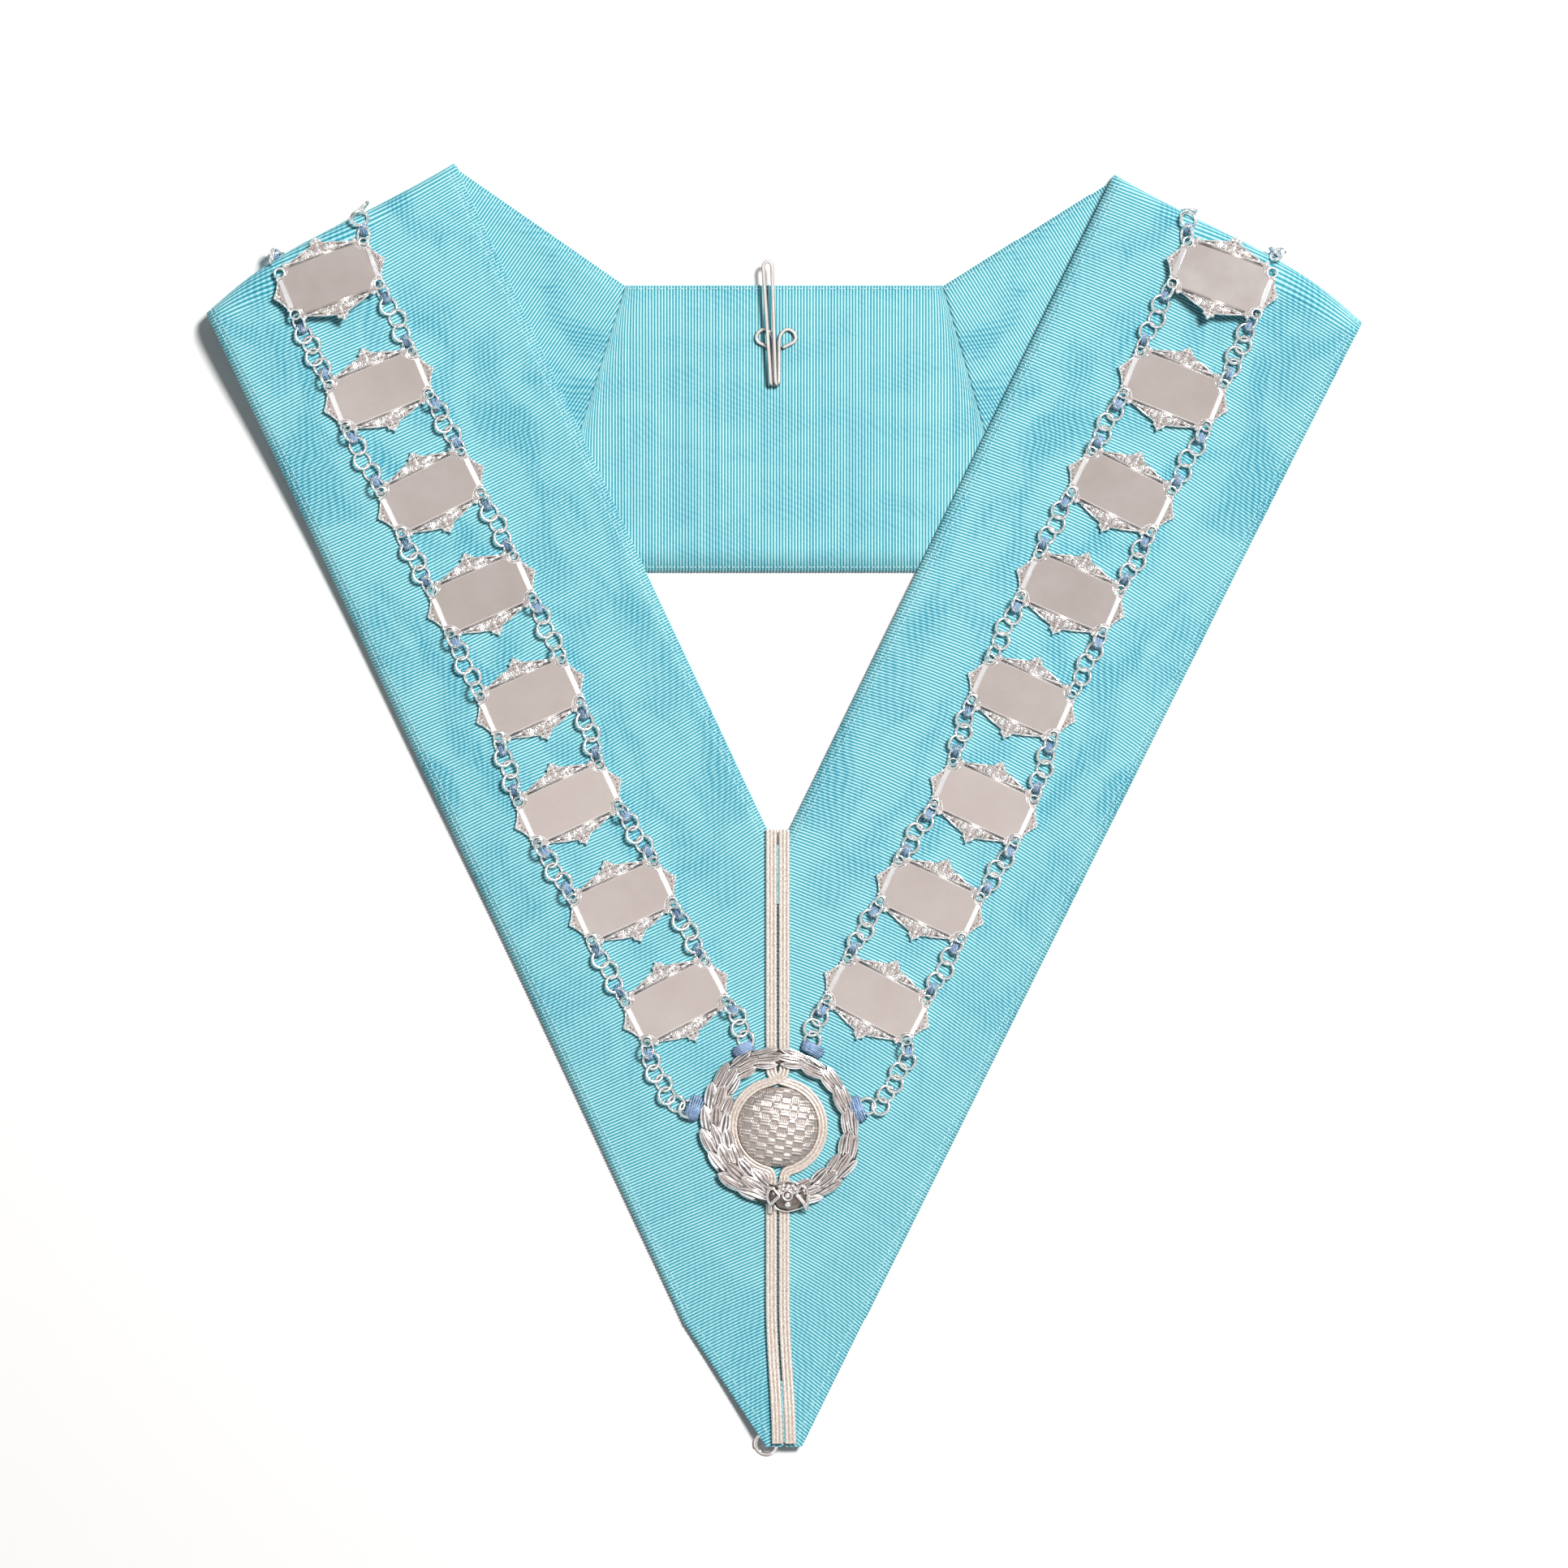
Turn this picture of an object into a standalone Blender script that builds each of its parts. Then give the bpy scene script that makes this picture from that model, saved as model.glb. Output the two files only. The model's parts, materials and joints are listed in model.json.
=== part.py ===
"""Chain collar of regalia: a wide ribbon folded over both shoulders, laid flat.

The front of the collar is up. Two front ribbons run down from the rolled shoulder folds and are
sewn together along the middle, under a metal braid. Behind them the shoulder backs and the neck
ribbon lie flat with their inner side up. Sixteen cast plates, joined corner to corner by chain,
lie on the front ribbons. A button, a cast laurel wreath and a hook finish it.
X runs to the right and Y towards the top of the collar as it lies, Z is up, z = 0 is the surface
that it lies on, and the origin is the middle of the neck ribbon's underside. Metres.
"""
import math
from collections import namedtuple

import bmesh
import bpy
from mathutils import Matrix, Vector

# Ribbon
RIBBON_WIDTH = 0.1016
RIBBON_WALL = 0.0016
GAP = 0.0003
NECK_TOP = 0.1126
TIP_DROP = 0.3616
TIP_FLAT = 0.0129
TIP_LIFT = 0.0035
SEAM_X = -0.0022
SEAM_SHIFT = 0.0022
SEAM_SHIFT_LENGTH = 0.0520
TUCK_START = 0.885
FOLD_INNER_RADIUS = 0.0025
FOLD_OUTER_RADIUS = 0.0060
FOLD_BULGE = 0.0037
FOLD_BULGE_SKEW = 1.8

# Plates
PANEL_LENGTH = 0.0320
PANEL_HEIGHT = 0.0172
PANEL_CLIP = 0.0032
PANEL_RAISE = 0.0005
PLATE_THICKNESS = 0.0011
PLATE_LENGTH = 0.0422
PLATE_HEIGHT = 0.0320
EYE_X = 0.0158
EYE_Y = 0.0079
EYE_OUTER = 0.0037
EYE_HOLE = 0.0022
BOSS_RAISE = 0.0009
BOSS_RADIUS = 0.0020
BOSS_PLACE = 0.42

# Chain
CHAIN_DIAMETER = 0.0040
EYE_CLEARANCE = 0.0008
CHAIN_END_WRAP = 0.62
CHAIN_END_STEPS = 4
CHAIN_STEPS = 3

# Wreath
WREATH_DROP = 0.2489
WREATH_OUTER = 0.0589
WREATH_LEFT_BAND = 0.0122
WREATH_RIGHT_BAND = 0.0086
WREATH_THICKNESS = 0.0034
WREATH_LEAVES = 10
BOW_LENGTH = 0.0134
BOW_WIDTH = 0.0100
BOW_HEIGHT = 0.0048

# Braid and button
BRAID_TOP_DROP = 0.1426
BRAID_END_MARGIN = 0.0010
BRAID_WIDTH = 0.0084
BRAID_THICKNESS = 0.0016
BRAID_RING_OUTER = 0.0356
BRAID_RING_LIFT = 0.00005
BRAID_RING_STEPS = 24
BUTTON_DIAMETER = 0.0280
BUTTON_HEIGHT = 0.0065
BUTTON_RIM = 0.0012
BUTTON_DROP = WREATH_DROP - 0.0008
BUTTON_STEPS = 20
DOME_STEPS = 5

# Hook and tip ring
HOOK_WIRE = 0.00135
HOOK_X = -0.0028
HOOK_LEG = 0.00103
HOOK_EYE_OUT = 0.0070
HOOK_EYE_UP = 0.0181
HOOK_BEND_Y = 0.0170
HOOK_BEND_DEPTH = 0.0017
HOOK_TONGUE_LENGTH = 0.0396
HOOK_TONGUE_SHIFT = -0.0011
HOOK_TONGUE_LEAN = -0.048
HOOK_TONGUE_FOOT = 0.00087
HOOK_TONGUE_HALF = 0.00156
HOOK_RISE = 0.0023
HOOK_TONGUE_LIFT = 0.0010
TIP_RING_DIAMETER = 0.0076
TIP_RING_WIRE = 0.0013
TIP_RING_X = -0.0063
TIP_RING_OVERHANG = 0.0030
TIP_RING_HIGH_SIDE = 45

# Shoulders: back_length is a share of the ribbon's width, slopes are in degrees from the
# horizontal and lean from the vertical
Shoulder = namedtuple("Shoulder", "side sign back_length back_slope fold_slope lean")
SHOULDERS = (
    Shoulder("left", -1, 0.730, 34.8, 31.5, 25.2),
    Shoulder("right", 1, 0.709, 32.2, 31.1, 26.4),
)

# Sections across a front ribbon, from the fold to the tip. along is a share of the front's
# length. layer is how far it rides over the ribbon under it, roll how much of the fold's rise
# is left at the inner and outer edges, and tip the share of the tip's lift.
Section = namedtuple("Section", "along layer inner_roll outer_roll tip")
FRONT_SECTIONS = (
    Section(0.000, 1.00, 1.00, 1.00, 0.00),
    Section(0.030, 1.00, 0.86, 0.91, 0.00),
    Section(0.070, 1.00, 0.62, 0.68, 0.00),
    Section(0.120, 1.00, 0.40, 0.44, 0.00),
    Section(0.180, 1.00, 0.22, 0.24, 0.00),
    Section(0.250, 1.00, 0.10, 0.11, 0.00),
    Section(0.330, 1.00, 0.03, 0.04, 0.00),
    Section(0.390, 1.00, 0.00, 0.00, 0.00),
    Section(0.450, 0.60, 0.00, 0.00, 0.00),
    Section(0.520, 0.15, 0.00, 0.00, 0.00),
    Section(0.580, 0.00, 0.00, 0.00, 0.00),
    Section(0.720, 0.00, 0.00, 0.00, 0.00),
    Section(0.870, 0.00, 0.00, 0.00, 0.00),
    Section(0.920, 0.00, 0.00, 0.00, 0.18),
    Section(0.960, 0.00, 0.00, 0.00, 0.52),
    Section(1.000, 0.00, 0.00, 0.00, 1.00),
)
ROLL_SECTIONS = 7
BACK_SECTIONS = 3
ACROSS_STEPS = 8
SLOPE_STEP = 0.0005
SEAT_STEPS = 4

# Plates: along is a share of the way from the fold to the wreath's middle, across a share of the
# ribbon's width, tilt in degrees
PlatePlace = namedtuple("PlatePlace", "along left_across right_across tilt")
PLATES = (
    PlatePlace(0.0234, 0.565, 0.499, 20.5),
    PlatePlace(0.1428, 0.573, 0.517, 22.0),
    PlatePlace(0.2598, 0.561, 0.514, 26.4),
    PlatePlace(0.3753, 0.552, 0.513, 23.5),
    PlatePlace(0.4922, 0.554, 0.522, 24.0),
    PlatePlace(0.6031, 0.590, 0.567, 24.6),
    PlatePlace(0.7172, 0.563, 0.549, 24.6),
    PlatePlace(0.8331, 0.545, 0.539, 27.4),
)

# Edge of a plate's crests from its middle line to its eye: how far out towards the eye, and how
# high, as shares of the eye's place and of the crest's height
CrestPoint = namedtuple("CrestPoint", "out rise")
LONG_CREST = (
    CrestPoint(0.00, 1.00),
    CrestPoint(0.13, 0.78),
    CrestPoint(0.36, 0.50),
    CrestPoint(0.58, 0.32),
    CrestPoint(0.77, 0.12),
)
SHORT_CREST = (
    CrestPoint(0.74, 0.22),
    CrestPoint(0.24, 0.68),
    CrestPoint(0.00, 1.00),
)
EYE_ARC_START = 112
EYE_ARC_TURN = 134
EYE_ARC_STEPS = 3
HOLE_SIDES = 6

# Section of the wreath's band: out is the share of the way from its inner to its outer edge,
# height the share of its thickness
BandPoint = namedtuple("BandPoint", "out height")
WREATH_BAND = (
    BandPoint(0.00, 0.00),
    BandPoint(0.00, 0.40),
    BandPoint(0.27, 0.95),
    BandPoint(0.50, 0.66),
    BandPoint(0.74, 1.00),
    BandPoint(1.00, 0.40),
    BandPoint(1.00, 0.00),
)
# Growth of one leaf from its base to its tip: spread is the share of the band that it fills,
# swell the share of the thickness
LeafPoint = namedtuple("LeafPoint", "spread swell")
WREATH_LEAF = (
    LeafPoint(0.80, 0.72),
    LeafPoint(0.92, 1.00),
    LeafPoint(1.00, 0.80),
)

# Sewing eye of the hook, from its loose end to the leg, as shares of its reach out from the
# hook's middle line and of its height above the bend
EyePoint = namedtuple("EyePoint", "out up")
HOOK_EYE = (
    EyePoint(0.33, 0.635),
    EyePoint(0.61, 0.690),
    EyePoint(0.90, 0.750),
    EyePoint(1.00, 0.830),
    EyePoint(0.94, 0.917),
    EyePoint(0.77, 0.978),
    EyePoint(0.57, 1.000),
    EyePoint(0.34, 0.950),
    EyePoint(0.19, 0.845),
    EyePoint(0.15, 0.690),
)

# The bow as a low mound: out is a share of its half size, height of its height
BOW_SECTIONS = (
    BandPoint(0.97, 0.02),
    BandPoint(1.00, 0.35),
    BandPoint(0.80, 0.80),
    BandPoint(0.40, 1.00),
)

# Section of the braid: out is a share of its width from the middle, height of its thickness
BRAID_SECTION = (
    BandPoint(-0.50, 0.00),
    BandPoint(-0.50, 0.55),
    BandPoint(-0.26, 1.00),
    BandPoint(0.00, 0.55),
    BandPoint(0.26, 1.00),
    BandPoint(0.50, 0.55),
    BandPoint(0.50, 0.00),
)
BRAID_ROW_LENGTH = 0.018

# The chosen points of the four chain ends at the wreath, from the wreath's centre, as shares of
# its radius
ChainEnd = namedtuple("ChainEnd", "strand points")
WREATH_ENDS = (
    ChainEnd("inner", ((0.465, 1.307), (0.401, 1.080))),
    ChainEnd("outer", ((1.545, 0.832), (1.375, 0.526), (1.256, 0.306), (1.080, 0.261))),
)

UP = Vector((0, 0, 1))


def flat_unit(angle):
    """Unit vector in plan at an angle in degrees from +X."""
    return Vector((math.cos(math.radians(angle)), math.sin(math.radians(angle))))


def lerp(start, end, share):
    return start + (end - start) * share


def meet(point, direction, other, other_direction):
    """Where two lines in plan cross."""
    spread = direction.x * other_direction.y - direction.y * other_direction.x
    offset = other - point
    share = (offset.x * other_direction.y - offset.y * other_direction.x) / spread
    return point + share * direction


def seam_x(y):
    """The middle seam runs straight down and shifts a little near the tip."""
    share = (-y - (TIP_DROP - SEAM_SHIFT_LENGTH)) / SEAM_SHIFT_LENGTH
    share = min(max(share, 0.0), 1.0)
    return SEAM_X + SEAM_SHIFT * share * share * (3 - 2 * share)


def section_at(along):
    """The front section at a share of the front's length, between the rows of the table."""
    along = min(max(along, 0.0), 1.0)
    for upper, lower in zip(FRONT_SECTIONS, FRONT_SECTIONS[1:]):
        if along <= lower.along:
            share = (along - upper.along) / (lower.along - upper.along)
            return Section(*(lerp(a, b, share) for a, b in zip(upper, lower)))
    return FRONT_SECTIONS[-1]


class SideRibbon:
    """One side of the collar, as the middle surface of its cloth.

    Points on it are given in plan as if the front went on flat past the fold. What lies beyond
    the line called axis is rolled over the cone of the fold and ends on the surface below.
    """

    def __init__(self, row):
        self.side = row.side
        self.sign = row.sign
        self.down = flat_unit(-90 - self.sign * row.lean)
        self.across = Vector((-self.sign * self.down.y, self.sign * self.down.x))
        self.neck_corner = Vector((self.sign * NECK_TOP / 2, RIBBON_WIDTH / 2))
        self.neck_slope = math.radians(row.back_slope) / 2
        back = Vector((self.sign, 0)) * math.cos(2 * self.neck_slope)
        back.y = math.sin(2 * self.neck_slope)
        fold_start = self.neck_corner + row.back_length * RIBBON_WIDTH * back
        slope = math.radians(row.fold_slope)
        crest = Vector((self.sign * math.cos(slope), -math.sin(slope)))
        outward = Vector((self.sign * math.sin(slope), math.cos(slope)))
        self.taper = (FOLD_OUTER_RADIUS - FOLD_INNER_RADIUS) / RIBBON_WIDTH
        turn = math.asin(self.taper)
        self.axis = math.cos(turn) * crest - math.sin(turn) * outward
        self.out = math.cos(turn) * outward + math.sin(turn) * crest
        reach = FOLD_INNER_RADIUS / self.taper
        self.cone = fold_start - reach * (self.axis + self.taper * self.out)
        self.inner_top = self.cone + reach * self.axis
        self.outer_top = self.edge_at(0.0, 1.0)
        self.tip = Vector((seam_x(-TIP_DROP) + self.sign * TIP_FLAT / 2, -TIP_DROP))
        self.fold_drop = (self.outer_top - self.inner_top).dot(self.down)
        self.length = (self.tip - self.outer_top).dot(self.down)

    def edge_at(self, roll, across):
        """Where the line at a share of the width meets the fold's line at a share of its roll."""
        angle = roll * math.pi * self.taper
        ray = math.cos(angle) * self.axis + math.sin(angle) * self.out
        start = self.inner_top + across * RIBBON_WIDTH * self.across
        return meet(start, self.down, self.cone, ray)

    def place(self, along, across):
        """The plan point at a share of the front's length and of its width."""
        down = along * self.length + across * self.fold_drop
        return self.inner_top + down * self.down + across * RIBBON_WIDTH * self.across

    def shares(self, point):
        """The share of the front's length and of its width at a plan point."""
        offset = point - self.inner_top
        across = offset.dot(self.across) / RIBBON_WIDTH
        down = offset.dot(self.down) - across * self.fold_drop
        return down / self.length, across

    def height(self, point):
        """Height of the middle of the front's cloth at a plan point."""
        along, across = self.shares(point)
        section = section_at(along)
        layer = RIBBON_WALL + GAP
        roll = lerp(section.inner_roll, section.outer_roll, across)
        top = self.place(0.0, across)
        rise = 2 * self.taper * (top - self.cone).dot(self.axis) - layer
        height = layer * section.layer + rise * roll + TIP_LIFT * section.tip
        return RIBBON_WALL / 2 + height

    def surface(self, point):
        """The middle of the cloth at a plan point, on the front or rolled over the fold."""
        offset = point - self.cone
        angle = math.atan2(offset.dot(self.out), offset.dot(self.axis))
        if angle <= 0:
            return point.to_3d() + self.height(point) * UP
        reach = offset.length
        turn = angle / self.taper
        radius = reach * self.taper
        share = (radius - FOLD_INNER_RADIUS) / (FOLD_OUTER_RADIUS - FOLD_INNER_RADIUS)
        share = min(max(share, 0.0), 1.0)
        bulge = FOLD_BULGE * math.sin(math.pi * share**FOLD_BULGE_SKEW)
        plan = self.cone + reach * self.axis + (radius + bulge) * math.sin(turn) * self.out
        return plan.to_3d() + (radius * (1 + math.cos(turn)) + RIBBON_WALL / 2) * UP

    def normal(self, point):
        """The way that the front's outer side faces at a plan point."""
        down, across = SLOPE_STEP * self.down, SLOPE_STEP * self.across
        along = self.surface(point + down) - self.surface(point - down)
        over = self.surface(point + across) - self.surface(point - across)
        return over.cross(along).normalized() * -self.sign

    def on_top(self, point, lift):
        """A point at a height above the cloth's outer side."""
        return self.surface(point) + (RIBBON_WALL / 2 + lift) * self.normal(point)

    def front_rows(self):
        """Plan points at the inner and outer ends of each row, from the fold to the tip."""
        seam = Vector((seam_x(0.0) + self.sign * GAP / 2, 0))
        fork = meet(self.inner_top, self.down, seam, Vector((0, -1)))
        fork_along = self.shares(fork)[0]
        rows = [section.along for section in FRONT_SECTIONS]
        rows = sorted({*rows, TUCK_START, fork_along})
        for along in rows:
            if along <= fork_along:
                inner = self.place(along, 0.0)
            else:
                y = lerp(fork.y, -TIP_DROP, (along - fork_along) / (1 - fork_along))
                inner = Vector((seam_x(y) + self.sign * GAP / 2, y))
            outer = self.place(min(along, TUCK_START), 1.0)
            if along > TUCK_START:
                outer = lerp(outer, self.tip, (along - TUCK_START) / (1 - TUCK_START))
            yield inner, outer

    def neck_seam(self):
        """Both ends of the seam to the neck ribbon, in plan."""
        lower = self.neck_corner + RIBBON_WIDTH * Vector((self.sign * math.tan(self.neck_slope), -1))
        return self.neck_corner, lower

    def rows(self):
        """Rows of points on the middle surface, from the neck seam over the fold to the tip."""
        shift = Vector((self.sign * GAP / 2 / math.cos(self.neck_slope), 0))
        seam_upper, seam_lower = (end + shift for end in self.neck_seam())
        fold_upper = self.surface(self.edge_at(1.0, 0.0)).to_2d()
        fold_lower = self.surface(self.edge_at(1.0, 1.0)).to_2d()
        shares = [step / ACROSS_STEPS for step in range(ACROSS_STEPS + 1)]
        flat = RIBBON_WALL / 2 * UP
        for step in range(BACK_SECTIONS):
            upper = lerp(seam_upper, fold_upper, step / BACK_SECTIONS)
            lower = lerp(seam_lower, fold_lower, step / BACK_SECTIONS)
            yield [lerp(upper, lower, share).to_3d() + flat for share in shares]
        for step in range(ROLL_SECTIONS):
            roll = 1.0 - step / ROLL_SECTIONS
            upper, lower = self.edge_at(roll, 0.0), self.edge_at(roll, 1.0)
            yield [self.surface(lerp(upper, lower, share)) for share in shares]
        for inner, outer in self.front_rows():
            points = [lerp(inner, outer, share) for share in shares]
            yield [point.to_3d() + self.height(point) * UP for point in points]


def clear_scene():
    for item in list(bpy.data.objects):
        bpy.data.objects.remove(item, do_unlink=True)


def new_collection(name):
    collection = bpy.data.collections.new(name)
    bpy.context.scene.collection.children.link(collection)
    return collection


def new_material(name, colour, metallic, roughness):
    material = bpy.data.materials.new(name)
    material.use_nodes = True
    shader = material.node_tree.nodes["Principled BSDF"]
    shader.inputs["Base Color"].default_value = (*colour, 1.0)
    shader.inputs["Metallic"].default_value = metallic
    shader.inputs["Roughness"].default_value = roughness
    return material


def add_object(name, data, material, collection):
    item = bpy.data.objects.new(name, data)
    if not data.materials:
        data.materials.append(material)
    collection.objects.link(item)
    return item


def mesh_from(name, build):
    """A mesh filled by a function that works on a bmesh."""
    shape = bmesh.new()
    build(shape)
    bmesh.ops.recalc_face_normals(shape, faces=shape.faces)
    mesh = bpy.data.meshes.new(name)
    shape.to_mesh(mesh)
    shape.free()
    return mesh


def loft(sections, closed_run=False, capped=True):
    """A bmesh builder that joins closed sections of equal count into a skin."""
    def build(shape):
        rings = [[shape.verts.new(point) for point in section] for section in sections]
        pairs = list(zip(rings, rings[1:]))
        if closed_run:
            pairs.append((rings[-1], rings[0]))
        for first, second in pairs:
            for index in range(len(first)):
                after = (index + 1) % len(first)
                shape.faces.new((first[index], first[after], second[after], second[index]))
        if capped and not closed_run:
            shape.faces.new(rings[0])
            shape.faces.new(rings[-1])
    return build


def grid(rows):
    """A bmesh builder for an open sheet through rows of points."""
    def build(shape):
        verts = [[shape.verts.new(point) for point in row] for row in rows]
        for first, second in zip(verts, verts[1:]):
            for index in range(len(first) - 1):
                corners = (first[index], first[index + 1], second[index + 1], second[index])
                shape.faces.new(corners)
    return build


def add_solidify(item, thickness):
    modifier = item.modifiers.new("wall", "SOLIDIFY")
    modifier.thickness = thickness
    modifier.offset = 0.0
    modifier.use_even_offset = True


def evaluated_mesh(item):
    """The welded mesh of an object as its modifiers or its curve give it, in place."""
    graph = bpy.context.evaluated_depsgraph_get()
    mesh = bpy.data.meshes.new_from_object(item.evaluated_get(graph))
    mesh.transform(item.matrix_world)
    shape = bmesh.new()
    shape.from_mesh(mesh)
    bmesh.ops.remove_doubles(shape, verts=shape.verts, dist=1e-6)
    bmesh.ops.recalc_face_normals(shape, faces=shape.faces)
    shape.to_mesh(mesh)
    shape.free()
    return mesh


def union(name, bodies, material, collection):
    """One object from several overlapping objects."""
    base = bodies[0]
    for other in bodies[1:]:
        modifier = base.modifiers.new("join " + other.name, "BOOLEAN")
        modifier.operation = "UNION"
        modifier.solver = "EXACT"
        modifier.object = other
    bpy.context.view_layer.update()
    mesh = evaluated_mesh(base)
    mesh.name = name
    for body in bodies:
        bpy.data.objects.remove(body, do_unlink=True)
    mesh.materials.clear()
    return add_object(name, mesh, material, collection)


def flat_solid(name, outlines, thickness, material, collection):
    """A flat solid with its underside at z = 0, from an outer outline and the holes in it."""
    curve = bpy.data.curves.new(name, "CURVE")
    curve.dimensions = "2D"
    curve.fill_mode = "BOTH"
    curve.extrude = thickness / 2
    for outline in outlines:
        spline = curve.splines.new("POLY")
        spline.points.add(len(outline) - 1)
        for point, place in zip(spline.points, outline):
            point.co = (place.x, place.y, 0.0, 1.0)
        spline.use_cyclic_u = True
    guide = bpy.data.objects.new(name + " outline", curve)
    guide.location.z = thickness / 2
    collection.objects.link(guide)
    bpy.context.view_layer.update()
    mesh = evaluated_mesh(guide)
    bpy.data.objects.remove(guide, do_unlink=True)
    mesh.materials.clear()
    return add_object(name, mesh, material, collection)


def tube(name, points, diameter, material, collection, closed=False):
    """A wire or chain run as a curve with a round section."""
    curve = bpy.data.curves.new(name, "CURVE")
    curve.dimensions = "3D"
    curve.bevel_depth = diameter / 2
    curve.bevel_resolution = 2
    curve.use_fill_caps = not closed
    spline = curve.splines.new("POLY")
    spline.points.add(len(points) - 1)
    for point, place in zip(spline.points, points):
        point.co = (*place, 1.0)
    spline.use_cyclic_u = closed
    spline.use_smooth = True
    return add_object(name, curve, material, collection)


def smooth_run(points, steps):
    """Points along a smooth curve through chosen points, some steps for each stretch."""
    run = []
    for index in range(len(points) - 1):
        before = points[max(index - 1, 0)]
        start, end = points[index], points[index + 1]
        after = points[min(index + 2, len(points) - 1)]
        for step in range(steps):
            share = step / steps
            pull = (end - before) * 0.5, (after - start) * 0.5
            cubic = (2 * share**3 - 3 * share**2 + 1) * start
            cubic += (share**3 - 2 * share**2 + share) * pull[0]
            cubic += (3 * share**2 - 2 * share**3) * end
            cubic += (share**3 - share**2) * pull[1]
            run.append(cubic)
    return run + [points[-1]]


def add_side_ribbon(ribbon, material, collection):
    mesh = mesh_from(ribbon.side + "_ribbon", grid(list(ribbon.rows())))
    item = add_object(ribbon.side + "_ribbon", mesh, material, collection)
    add_solidify(item, RIBBON_WALL)
    return item


def add_neck_ribbon(ribbons, material, collection):
    """The flat back of the neck, mitred to both shoulder backs."""
    ends = {ribbon.side: ribbon.neck_seam() for ribbon in ribbons}
    shift = {ribbon.side: Vector((ribbon.sign * GAP / 2 / math.cos(ribbon.neck_slope), 0))
             for ribbon in ribbons}
    rows = []
    steps = ACROSS_STEPS // 2
    for level in range(3):
        left = lerp(*ends["left"], level / 2) - shift["left"]
        right = lerp(*ends["right"], level / 2) - shift["right"]
        row = [lerp(left, right, step / steps) for step in range(steps + 1)]
        rows.append([point.to_3d() + RIBBON_WALL / 2 * UP for point in row])
    item = add_object("neck_ribbon", mesh_from("neck_ribbon", grid(rows)), material, collection)
    add_solidify(item, RIBBON_WALL)
    return item


def quarter_outline():
    """A plate's edge from the middle of its long crest, round an eye, to its short crest."""
    points = []
    for row in LONG_CREST:
        height = lerp(PANEL_HEIGHT / 2, PLATE_HEIGHT / 2, row.rise)
        points.append(Vector((EYE_X * row.out, height)))
    for step in range(EYE_ARC_STEPS):
        angle = EYE_ARC_START - EYE_ARC_TURN * step / (EYE_ARC_STEPS - 1)
        points.append(Vector((EYE_X, EYE_Y)) + EYE_OUTER / 2 * flat_unit(angle))
    for row in SHORT_CREST:
        length = lerp(PANEL_LENGTH / 2, PLATE_LENGTH / 2, row.rise)
        points.append(Vector((length, EYE_Y * row.out)))
    return points


def four_quarters(quarter):
    """The whole outline, from one quarter that starts and ends on the two middle lines."""
    half = quarter + [Vector((point.x, -point.y)) for point in reversed(quarter[:-1])]
    return half + [Vector((-point.x, point.y)) for point in reversed(half[1:-1])]


def circle(centre, diameter, sides):
    return [centre + diameter / 2 * flat_unit(360 * side / sides) for side in range(sides)]


def eye_places():
    return [Vector((x * EYE_X, y * EYE_Y)) for x in (-1, 1) for y in (-1, 1)]


def plate_pattern(material, collection):
    """The cast plate, with its underside at z = 0: eyes, raised panel and a boss on each crest."""
    outlines = [four_quarters(quarter_outline())]
    outlines += [circle(eye, EYE_HOLE, HOLE_SIDES) for eye in eye_places()]
    body = flat_solid("plate body", outlines, PLATE_THICKNESS, material, collection)
    half_x, half_y = PANEL_LENGTH / 2, PANEL_HEIGHT / 2
    corner = [Vector((0.0, half_y)), Vector((half_x - PANEL_CLIP, half_y)),
              Vector((half_x, half_y - PANEL_CLIP)), Vector((half_x, 0.0))]
    panel = four_quarters(corner)
    panel = [point for point in panel if point.x and point.y]
    slab = flat_solid("panel", [panel], PLATE_THICKNESS / 2 + PANEL_RAISE, material, collection)
    slab.location.z = PLATE_THICKNESS / 2
    parts = [body, slab]
    crest_y = lerp(half_y, PLATE_HEIGHT / 2, BOSS_PLACE)
    root = PLATE_THICKNESS / 2
    depth = PLATE_THICKNESS + BOSS_RAISE - root
    for y in (-crest_y, crest_y):
        mesh = mesh_from("boss", lambda shape: bmesh.ops.create_cone(
            shape, cap_ends=True, segments=4, radius1=BOSS_RADIUS, radius2=BOSS_RADIUS / 3,
            depth=depth, matrix=Matrix.Translation((0, y, root + depth / 2))))
        parts.append(add_object("boss", mesh, material, collection))
    return union("plate pattern", parts, material, collection)


def surface_pose(ribbon, centre, tilt, length, height):
    """Where a flat piece lies on a front ribbon: on its high points, with the gap under it."""
    along = flat_unit(tilt) * length / 2
    over = flat_unit(tilt + 90) * height / 2
    middle = ribbon.surface(centre)
    x_axis = (ribbon.surface(centre + along) - ribbon.surface(centre - along)).normalized()
    y_axis = ribbon.surface(centre + over) - ribbon.surface(centre - over)
    z_axis = x_axis.cross(y_axis).normalized()
    y_axis = z_axis.cross(x_axis)
    highest = 0.0
    for i in range(-SEAT_STEPS, SEAT_STEPS + 1):
        for j in range(-SEAT_STEPS, SEAT_STEPS + 1):
            sample = ribbon.surface(centre + along * i / SEAT_STEPS + over * j / SEAT_STEPS)
            highest = max(highest, (sample - middle).dot(z_axis))
    place = middle + (highest + RIBBON_WALL / 2 + GAP) * z_axis
    pose = Matrix((x_axis, y_axis, z_axis)).transposed().to_4x4()
    return Matrix.Translation(place) @ pose


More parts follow.
